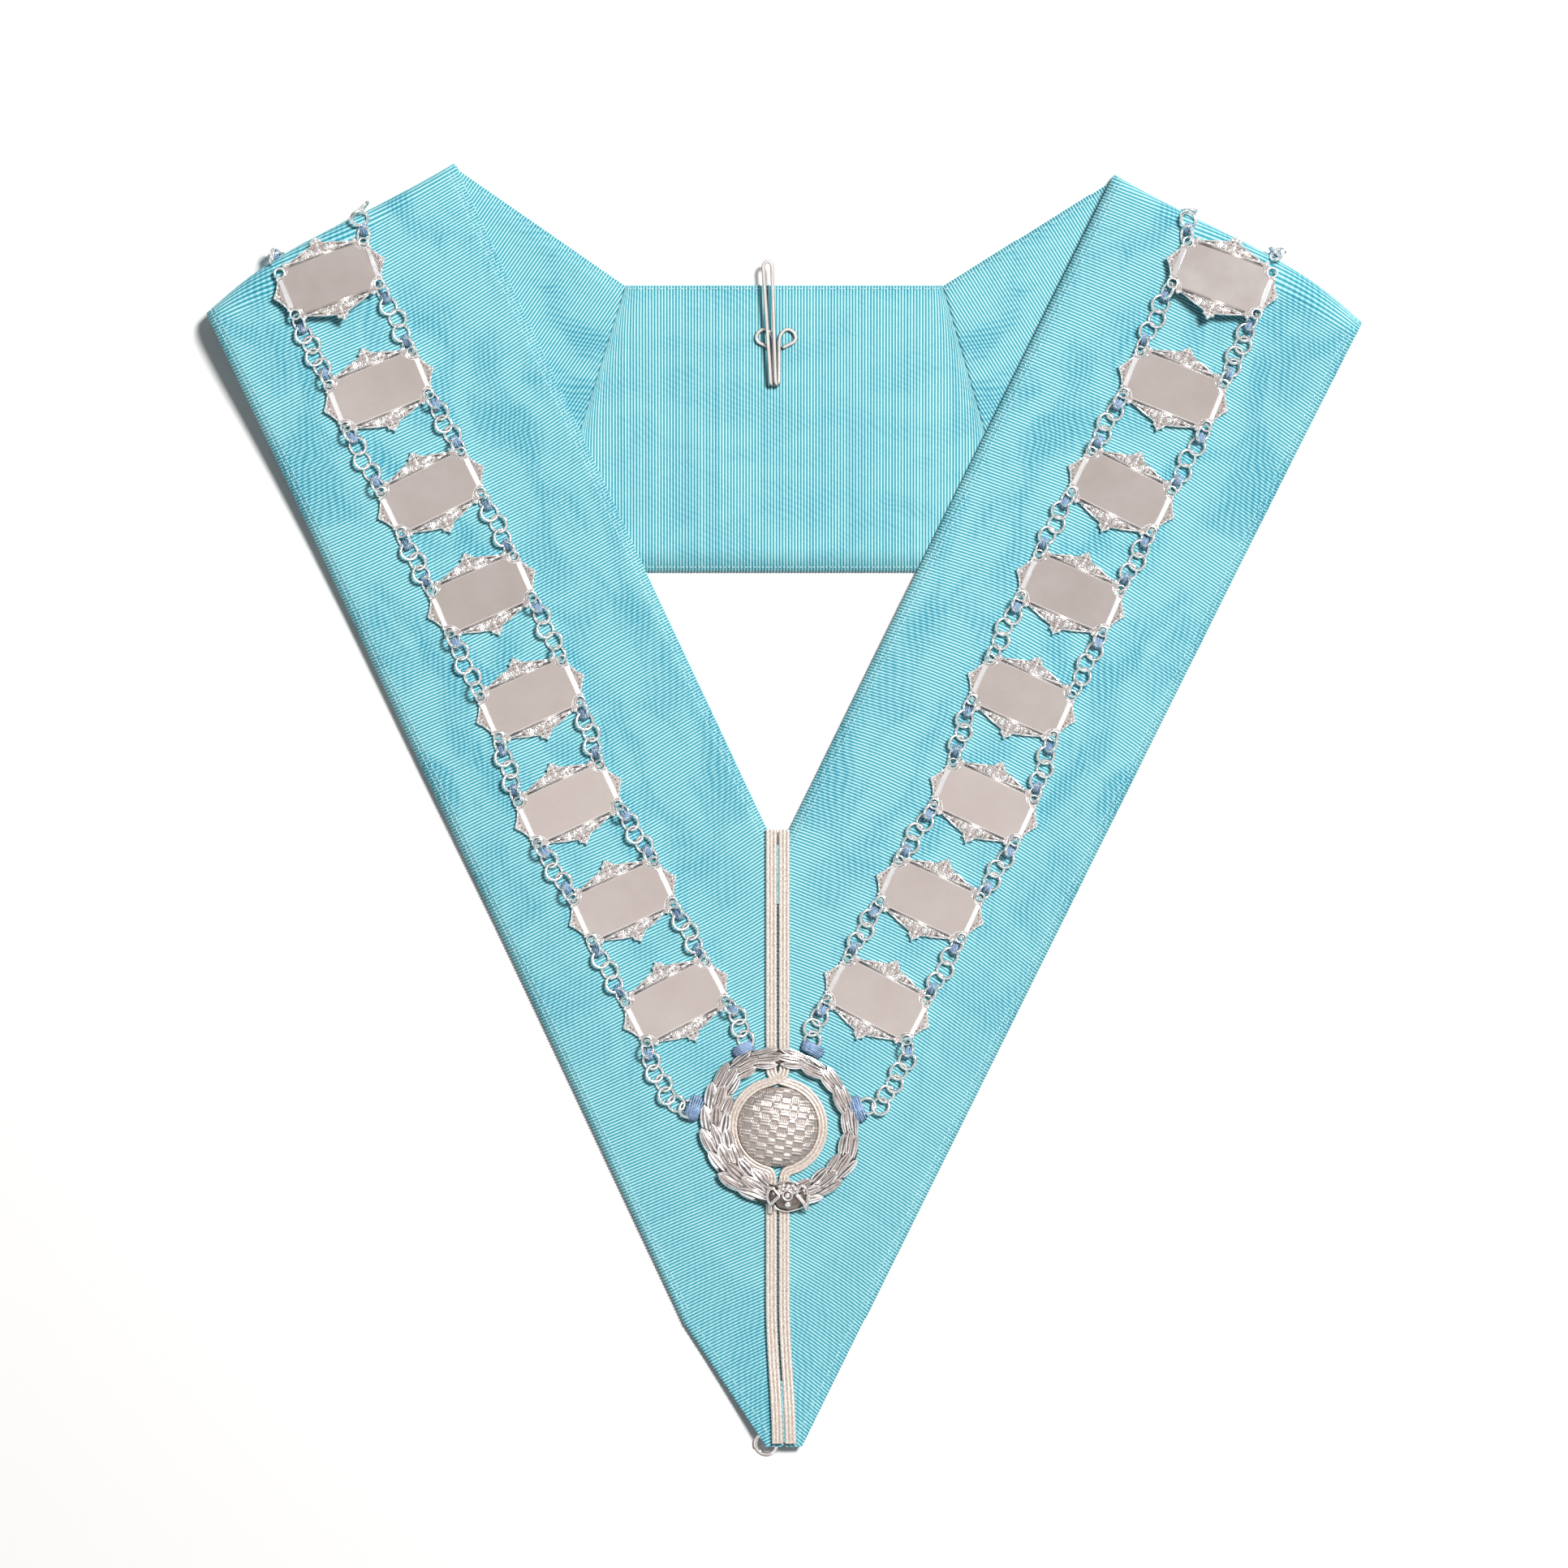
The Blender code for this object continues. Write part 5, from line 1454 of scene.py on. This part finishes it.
place = np.column_stack((x + SEAM_X, y - BUTTON_DROP, height))
button.data.vertices.foreach_set("co", place.ravel())
own_map(button, "weave", np.column_stack((over, up)))
button.data.update()
bpy.ops.object.mode_set(mode="EDIT")
bpy.ops.mesh.select_mode(type="EDGE")
bpy.ops.mesh.select_all(action="DESELECT")
bpy.ops.mesh.select_non_manifold()
bpy.ops.mesh.extrude_edges_move(TRANSFORM_OT_translate={"value": (0, 0, 0)})
bpy.ops.transform.resize(value=(1, 1, 0), center_override=(SEAM_X, -BUTTON_DROP, button_base))
bpy.ops.mesh.edge_face_add()
bpy.ops.mesh.select_all(action="SELECT")
bpy.ops.mesh.normals_make_consistent(inside=False)
bpy.ops.object.mode_set(mode="OBJECT")
print("button:", len(button.data.polygons), "faces")


# %% Woven metal
def woven_metal(name, raised_painted_light, sunk_painted_shade, gap_painted_shade):
    """Bricks of metal thread: flat lines on a raised brick, upright ones on a sunk one, with painted
    light on raised bricks and painted shade on sunk ones and between threads.
    """
    material = plain_material(name, raised_painted_light, 0.36, 0.7)
    tree = material.node_tree
    weave = node(tree, "ShaderNodeUVMap", uv_map="weave").outputs[0]
    over, up = split_parts(tree, weave)[:2]

    def wave_of(value, turns):
        return math_node(tree, "COSINE", math_node(tree, "MULTIPLY", value, 2 * math.pi * turns))

    row, stack = (math_node(tree, "SINE", math_node(tree, "MULTIPLY", value, math.pi))
                  for value in (up, over))
    field = math_node(tree, "MULTIPLY", row, math_node(tree, "ADD", stack, BRICK_BIAS))
    raised = math_node(tree, "MULTIPLY_ADD", field, 7.0, 0.5, clamp=True)
    flat_lines = math_node(tree, "MULTIPLY_ADD", wave_of(up, 2.0), -0.5, 0.5)
    upright_lines = math_node(tree, "MULTIPLY_ADD", wave_of(over, 5.0), 0.5, 0.5)
    on_raised = mix(tree, flat_lines, gap_painted_shade, raised_painted_light)
    on_sunk = mix(tree, upright_lines, gap_painted_shade, sunk_painted_shade)
    colour = tree.nodes["Principled BSDF"].inputs["Base Color"]
    tree.links.new(mix(tree, raised, on_sunk, on_raised), colour)
    add_bump(tree, mix(tree, raised, upright_lines, flat_lines, "FLOAT"), 0.7, 0.00012)
    return material


# Raised bricks are painted light, sunk ones painted shade, and the dark between threads is painted
# shade over the weave's own lines.
paint(button, woven_metal("woven metal", (0.86, 0.80, 0.77), (0.61, 0.55, 0.51), (0.38, 0.32, 0.29)))
dress(button, "metal_thread", "button")
print("button wears:", button.data.materials[0].name)

# %% [markdown]
# ## Laurel wreath
# The wreath is cast silver: two branches of laurel leaves, in threes, that grow from a bow at the
# bottom and meet at the top. One leaf is shaped from a grid: a raised rim, two hollows painted dark
# as shade, and a broad middle rib. It gets its thickness from a wall and is then laid between pairs
# of points along both branches, each three over the foot of the next.

# %% One leaf
LEAF_LENGTH = 0.0108
LEAF_WIDTH = 0.0043
LEAF_RIDGE = 0.00100
LEAF_WALL = 0.0005
LEAF_PROFILE = (0.20, 0.58, 0.62, 0.52, 0.92, 1.0, 0.92, 0.52, 0.62, 0.58, 0.20)
leaf = primitive("grid", "leaf", x_subdivisions=9, y_subdivisions=10, size=2)
paint(leaf, cast_silver)
# The faces of the two hollows get the near-black silver: painted shade.
leaf.data.materials.append(painted_deep_shade)
for face in leaf.data.polygons:
    out = abs(face.center.y)
    face.material_index = 1 if 0.2 < out < 0.4 and abs(face.center.x) < 0.7 else 0
for vertex in leaf.data.vertices:
    along, out = (vertex.co.x + 1) / 2, vertex.co.y
    half = LEAF_WIDTH / 2 * (0.12 + 0.88 * math.sin(math.pi * along**1.15)**0.62)
    swell = 0.12 + 0.88 * math.sin(math.pi * (0.05 + 0.90 * along))
    ridge = LEAF_PROFILE[round((out + 1) / 2 * 10)]
    vertex.co = (along * LEAF_LENGTH, out * half, LEAF_RIDGE * ridge * swell)
modify(leaf, "SOLIDIFY", thickness=LEAF_WALL, offset=-1.0)
close_up(leaf)
bpy.ops.object.shade_smooth_by_angle(angle=math.radians(24))
print("one leaf:", len(leaf.data.polygons), "faces")

# %% Branches
# The band of leaves is wide on the left, narrow on the right, and bulges at the lower right.
WREATH_BANDS = np.array([
    # angle, outer radius, inner radius in millimetres
    (-90, 28.6, 19.4), (-65, 29.4, 20.2), (-50, 29.9, 19.4), (-34, 30.6, 21.4), (-18, 30.5, 21.6),
    (-4, 28.6, 22.8), (14, 27.8, 22.6), (38, 28.5, 22.6), (62, 28.5, 23.0), (90, 29.2, 21.8),
    (110, 30.7, 22.4), (129, 31.2, 22.2), (145, 30.6, 19.2), (165, 29.8, 18.0), (186, 28.9, 16.8),
    (205, 28.2, 15.8), (224, 28.1, 15.6), (246, 28.4, 16.4), (270, 28.6, 19.4),
])
WREATH_X = -0.0016
WREATH_BASE = 0.0016
wreath_height = seam_top(-WREATH_DROP, WREATH_OUTER / 2) + 2 * GAP + WREATH_BASE
wreath_centre = np.array((WREATH_X, -WREATH_DROP))


def band_at(angle):
    """Middle radius and width of the band of leaves."""
    outer, inner = (np.interp(angle, WREATH_BANDS[:, 0], WREATH_BANDS[:, c]) * MM for c in (1, 2))
    return (outer + inner) / 2, outer - inner


def on_band(angle, out):
    middle, band = band_at(angle)
    return wreath_centre + (middle + out * band) * unit(angle)


def laid_leaf(foot, tip, width, low, high, roll):
    """A leaf from its foot to its tip, both given in the plan with their heights."""
    reach = tip - foot
    length = float(np.hypot(*reach))
    heading = math.atan2(reach[1], reach[0])
    return copy_of(leaf, Matrix.Translation((*foot, wreath_height + low))
                   @ Matrix.Rotation(heading, 4, "Z")
                   @ Matrix.Rotation(-math.atan2(high - low, length), 4, "Y")
                   @ Matrix.Rotation(math.radians(roll), 4, "X")
                   @ Matrix.Diagonal((length / LEAF_LENGTH, width / LEAF_WIDTH, 1.0, 1.0)))


LEAF_STEP = 18.4
LEAF_LEAST_WIDTH = 0.0032
SIDE_LEAF_HEIGHTS = (0.0002, 0.0012)
TOP_LEAF_HEIGHTS = (0.0008, 0.0021)
BAND_SHARE = 0.70
BAND_HEIGHT = 0.0005
leaves = []
for way, start in ((-1, 262), (1, -82)):
    for station in range(9):
        foot = start + way * LEAF_STEP * station
        middle, band = band_at(foot + way * 12)
        tip = foot + way * math.degrees(LEAF_LENGTH / middle)
        width = max(0.41 * band, LEAF_LEAST_WIDTH)
        drift = 0.05 * math.sin(3.3 * station + way)
        for out in (0.36, -0.36):
            roll = 20 + 9 * math.sin(2.7 * station + 40 * out)
            leaves.append(laid_leaf(on_band(foot, 0.55 * out), on_band(tip, out + drift), width,
                                    *SIDE_LEAF_HEIGHTS, roll * way * np.sign(out)))
        leaves.append(laid_leaf(on_band(foot + 3.5 * way, 0.0), on_band(tip + 3.5 * way, drift),
                                width, *TOP_LEAF_HEIGHTS, 16 * math.sin(4.1 * station + way)))
# A flat band under the leaves, painted deep shade where the gaps between leaves show it.
band_points = [(*on_band(7.5 * step - 90, 0.0), 0.0) for step in range(48)]
widths = [band_at(7.5 * step - 90)[1] for step in range(48)]
base = wire("base", band_points, BAND_SHARE, closed=True, taper=widths)
base.data.transform(Matrix.Translation((0, 0, wreath_height + BAND_HEIGHT))
                    @ Matrix.Diagonal((1, 1, 0.10, 1)))
paint(base, painted_deep_shade)
leaves.append(base)
discard(leaf)
print("leaves:", len(leaves) - 1)

# %% Bow and berries
BOW_PLACE = Vector((0.00127, -0.2722, wreath_height))
LEFT_LOOP = ((-2.8, -0.1), (-4.3, 1.5), (-5.0, 2.4), (-6.4, 2.0),
             (-7.1, 0.4), (-6.9, -1.6), (-5.9, -3.1), (-4.4, -1.6))
RIGHT_LOOP = ((3.0, 0.5), (3.9, 2.4), (4.8, 3.3), (6.2, 2.9),
              (7.1, 1.3), (7.1, -1.0), (6.7, -4.2), (5.3, -2.0))
TAILS = (((-6.5, -3.0), (-6.5, -5.9), (-5.6, -6.3), (-4.7, -5.9), (-4.7, -3.4)),
         ((7.2, -3.6), (7.5, -5.0), (6.6, -5.3), (6.2, -4.4)))
ARCH = ((-3.8, 3.4), (-3.3, 4.4), (-1.8, 4.8), (0, 4.9), (1.9, 4.7), (3.5, 3.9), (3.9, 2.6))
SKIRT = ((-4.6, -3.9), (-3.8, -4.9), (-2.2, -5.5), (0.1, -5.8), (3.0, -5.2), (5.9, -4.2))
BERRIES = ((-2.8, 3.1), (-1.4, 3.5), (0.3, 3.3), (1.8, 3.4), (2.7, 2.4), (-1.7, 2.2),
           (1.1, 2.0), (-0.3, 2.2), (-3.0, 1.6), (2.1, 1.0), (-2.3, 0.9))


def bow_points(flat, z):
    return [BOW_PLACE + Vector((x, y, z)) * MM for x, y in flat]


def bow_wire(name, flat, z, thickness):
    return wire(name, smooth_run(bow_points(flat, z), 4), thickness * MM)


bow = [bow_wire("loop", LEFT_LOOP + LEFT_LOOP[:1], 2.6, 1.2),
       bow_wire("loop", RIGHT_LOOP + RIGHT_LOOP[:1], 2.6, 1.2),
       bow_wire("arm", (LEFT_LOOP[-2], LEFT_LOOP[-1], LEFT_LOOP[0]), 2.9, 1.5),
       bow_wire("arm", (RIGHT_LOOP[-2], RIGHT_LOOP[-1], RIGHT_LOOP[0]), 2.9, 1.7),
       bow_wire("tail", TAILS[0], 0.9, 0.6),
       bow_wire("tail", TAILS[1], 0.9, 0.6),
       bow_wire("arch", ARCH, 2.0, 0.6),
       bow_wire("skirt", SKIRT, 0.9, 0.6)]
bow += [bead(bow_points([berry], 2.8)[0], mm(1.7, 1.6, 1.8)) for berry in BERRIES]
bow.append(bead(bow_points([(0, 0)], 3.3)[0], mm(2.1, 2.1, 1.8)))
bow.append(bead(bow_points([(0.1, -3.2)], 1.8)[0], mm(2.7, 2.7, 2.4)))
bow.append(primitive("torus", "collar", major_segments=20, minor_segments=6,
                     major_radius=1.65 * MM, minor_radius=0.5 * MM,
                     location=BOW_PLACE + Vector((0, 0, 2.9)) * MM))
for piece in bow:
    paint(piece, cast_silver)
# Flat near-black discs under the bow and inside its two loops: painted shade.
dark = [bead(bow_points([(0.4, -0.6)], 0.8)[0], mm(12.0, 10.4, 2.0)),
        bead(bow_points([(-5.2, 0.0)], 1.0)[0], mm(3.6, 5.2, 2.4)),
        bead(bow_points([(5.6, 0.6)], 1.0)[0], mm(3.6, 5.6, 2.4))]
for piece in dark:
    paint(piece, painted_deep_shade)
wreath = join(*leaves, *bow, *dark)
wreath.name = "wreath_cast"
dress(wreath, "silver", "wreath")
print("wreath:", len(wreath.data.polygons), "faces")

# %% [markdown]
# ## Collar hook and tip ring
# The hook is one bent wire: two sewing eyes, two legs, a bend and a long narrow tongue. Its route
# is a short list of points, smoothed. The split ring at the tip is a wire wound round twice.

# %% Hook
HOOK_WIRE = 0.00135
HOOK_X = -0.0028
HOOK_LEG = 0.00103
HOOK_EYE_OUT = 0.0070
HOOK_EYE_UP = 0.0181
HOOK_BEND_Y = 0.0170
HOOK_BEND_DEPTH = 0.0017
HOOK_TONGUE_LENGTH = 0.0396
HOOK_TONGUE_SHIFT = -0.0011
HOOK_TONGUE_LEAN = -0.048
HOOK_TONGUE_FOOT = 0.00087
HOOK_TONGUE_HALF = 0.00156
HOOK_RISE = 0.0023
HOOK_TONGUE_LIFT = 0.0010
HOOK_EYE = ((0.33, 0.635), (0.61, 0.69), (0.90, 0.75), (1.0, 0.83), (0.94, 0.917), (0.77, 0.978),
            (0.57, 1.0), (0.34, 0.95), (0.19, 0.845), (0.15, 0.69))


def hook_half(sign):
    """Half of the hook, from its sewing eye down a leg, round the bend and up the tongue."""
    low = RIBBON_WALL + GAP + HOOK_WIRE / 2
    high = low + HOOK_RISE
    eye = [(sign * out * HOOK_EYE_OUT, HOOK_BEND_Y + up * HOOK_EYE_UP, low) for out, up in HOOK_EYE]
    run = list(smooth_run(eye, 3))
    foot = HOOK_TONGUE_SHIFT + sign * HOOK_TONGUE_FOOT
    for angle in np.linspace(0, math.pi, 9):
        share = (1 - math.cos(angle)) / 2
        run.append((sign * HOOK_LEG + (foot - sign * HOOK_LEG) * share,
                    HOOK_BEND_Y - HOOK_BEND_DEPTH * math.sin(angle), low + HOOK_RISE * share))
    top = HOOK_TONGUE_SHIFT + HOOK_TONGUE_LEAN * HOOK_TONGUE_LENGTH
    top_y = HOOK_BEND_Y + HOOK_TONGUE_LENGTH
    for share in (0.25, 0.5, 0.75, 1.0):
        run.append((foot + (top + sign * HOOK_TONGUE_HALF - foot) * share,
                    HOOK_BEND_Y + HOOK_TONGUE_LENGTH * share, high + share * HOOK_TONGUE_LIFT))
    for angle in (20, 40, 60, 78):
        reach = HOOK_TONGUE_HALF * unit(angle)
        run.append((top + sign * reach[0], top_y + 1.5 * reach[1], high + HOOK_TONGUE_LIFT))
    return [Vector(point) + Vector((HOOK_X, 0, 0)) for point in run]


def shade_sides(piece, material, dark):
    """Paint shade on a wire's flanks by an attribute of its own: bright on top, dark where it turns
    away.
    """
    normals = np.empty(len(piece.data.vertices) * 3)
    piece.data.vertices.foreach_get("normal", normals)
    shade = np.clip((0.84 - np.abs(normals[2::3])) / 0.4, 0, 1)
    piece.data.attributes.new("flank", "FLOAT", "POINT").data.foreach_set("value", shade)
    paint(piece, material.copy())
    tree = piece.data.materials[0].node_tree
    shader = tree.nodes["Principled BSDF"]
    shader.inputs["Metallic"].default_value = 0.35
    colour = shader.inputs["Base Color"]
    flank = node(tree, "ShaderNodeAttribute", attribute_name="flank")
    plain = colour.links[0].from_socket
    tree.links.new(mix(tree, flank.outputs["Fac"], plain, dark), colour)


hook = wire("hook_wire", hook_half(-1) + hook_half(1)[::-1], HOOK_WIRE, resolution=3)
# The hook's flanks are painted almost black as shade.
shade_sides(hook, nickel, (0.14, 0.085, 0.055))
dress(hook, "nickel", "hook")

# %% Tip ring
TIP_RING_DIAMETER = 0.0076
TIP_RING_WIRE = 0.0013
TIP_RING_X = -0.0063
TIP_RING_OVERHANG = 0.0030
COIL_WIRE = 0.00092
COIL_SPREAD = 0.00022
COIL_RISE = 0.0006
COIL_STEPS = 56
radius = TIP_RING_DIAMETER / 2
centre = np.array((TIP_RING_X, radius - TIP_RING_OVERHANG - TIP_DROP))
direction = unit(45)
under = float(LEFT.heights(centre + radius * direction)) - RIBBON_WALL / 2
low, high = TIP_RING_WIRE / 2, under - GAP - TIP_RING_WIRE / 2
tilt = Matrix.Rotation(math.asin((high - low) / TIP_RING_DIAMETER), 4,
                       Vector((direction[1], -direction[0], 0)))
pose = Matrix.Translation((*centre, (low + high) / 2)) @ tilt
coil = []
for step in range(COIL_STEPS + 1):
    share = step / COIL_STEPS
    turn = 360 * 2 * share
    reach = radius + COIL_SPREAD * math.cos(math.radians(turn / 2))
    coil.append(pose @ Vector((*(reach * unit(turn + 200)), (share - 0.5) * COIL_RISE)))
tip_ring = wire("tip_ring_coil", coil, COIL_WIRE, resolution=2)
paint(tip_ring, nickel)
dress(tip_ring, "nickel", "tip_ring")
print("hook:", len(hook.data.polygons), "faces, tip ring:", len(tip_ring.data.polygons), "faces")

# %% [markdown]
# ## Stitches
# Two rows of short pale stitches hold the turned edges of the fronts, and one row holds those of
# the backs and the neck. Each stitch is one tiny pill of thread, modelled once and laid end to
# end along the lines.

# %% Stitches
STITCH_PITCH = 0.0015
STITCH_ROWS = (0.0018, 0.0034)
STITCH_SIZE = (0.00090, 0.00034, 0.00030)
STITCH_BEVEL = 0.00010
FORK_MARGIN = 0.003
TUCK_MARGIN = 0.006
TIP_ROW_MARGINS = (0.002, 0.001)
NECK_ROW_INSETS = (0.0012, 0.0014)
NECK_ROW_HALVES = (NECK_TOP / 2 - 0.001, 0.082)
stitch = primitive("cube", "stitch", size=1, scale=STITCH_SIZE)
modify(stitch, "BEVEL", width=STITCH_BEVEL, segments=1, limit_method="NONE")
bpy.ops.object.shade_smooth()
stitch_thread = thread_material("stitch thread", (0.66, 0.92, 0.95), (0.36, 0.74, 0.82), 2500.0, 0.6)
paint(stitch, stitch_thread)


def stitch_row(start, end, pose_at):
    """Stitches along a straight line, each put where a rule for its distance says."""
    length = float(np.linalg.norm(end - start))
    count = int(length / STITCH_PITCH)
    return [copy_of(stitch, pose_at((index + 0.5) * length / count)) for index in range(count)]


def front_row(side, start, end):
    run = Run(side, (start, end))
    return stitch_row(start, end, lambda distance: run.frame(distance, 0.0))


def flat_row(start, end):
    """A row on cloth that lies flat on the table."""
    way = (end - start) / np.linalg.norm(end - start)
    turn = Matrix.Rotation(math.atan2(way[1], way[0]), 4, "Z")
    return stitch_row(start, end, lambda distance:
                      Matrix.Translation((*(start + distance * way), RIBBON_WALL)) @ turn)


stitches = []
for side in SIDES:
    for inset in STITCH_ROWS:
        for across in (inset / RIBBON_WIDTH, 1 - inset / RIBBON_WIDTH):
            start = side.edge_at(0.55, across)
            seam = np.array((seam_x(0.0), 0.0))
            fork = meet(side.place(0.0, across), side.down, seam, unit(-90))
            end = fork - FORK_MARGIN * side.down
            if across > 0.5:
                end = side.place(TUCK_START - TUCK_MARGIN, across)
            stitches += front_row(side, start, end)
    tuck = side.place(TUCK_START, 1.0)
    way = (side.tip - tuck) / np.linalg.norm(side.tip - tuck)
    inward = STITCH_ROWS[1] * side.sign * np.array((way[1], -way[0]))
    first, last = TIP_ROW_MARGINS
    stitches += front_row(side, tuck + inward + first * way, side.tip + inward - last * way)
    fold = side.surface(side.edge_at(1.0, 0.0))[:2]
    inward = STITCH_ROWS[0] * side.back_down
    stitches += flat_row(side.neck_corner + inward, fold + inward)
for edge, inset, half in zip((1, -1), NECK_ROW_INSETS, NECK_ROW_HALVES):
    height = edge * (RIBBON_WIDTH / 2 - inset)
    stitches += flat_row(np.array((-half, height)), np.array((half, height)))
stitch_piece = join(*stitches)
stitch_piece.name = "edge_stitches"
dress(stitch_piece, "ribbon")
discard(stitch)
print("stitches:", len(stitches))
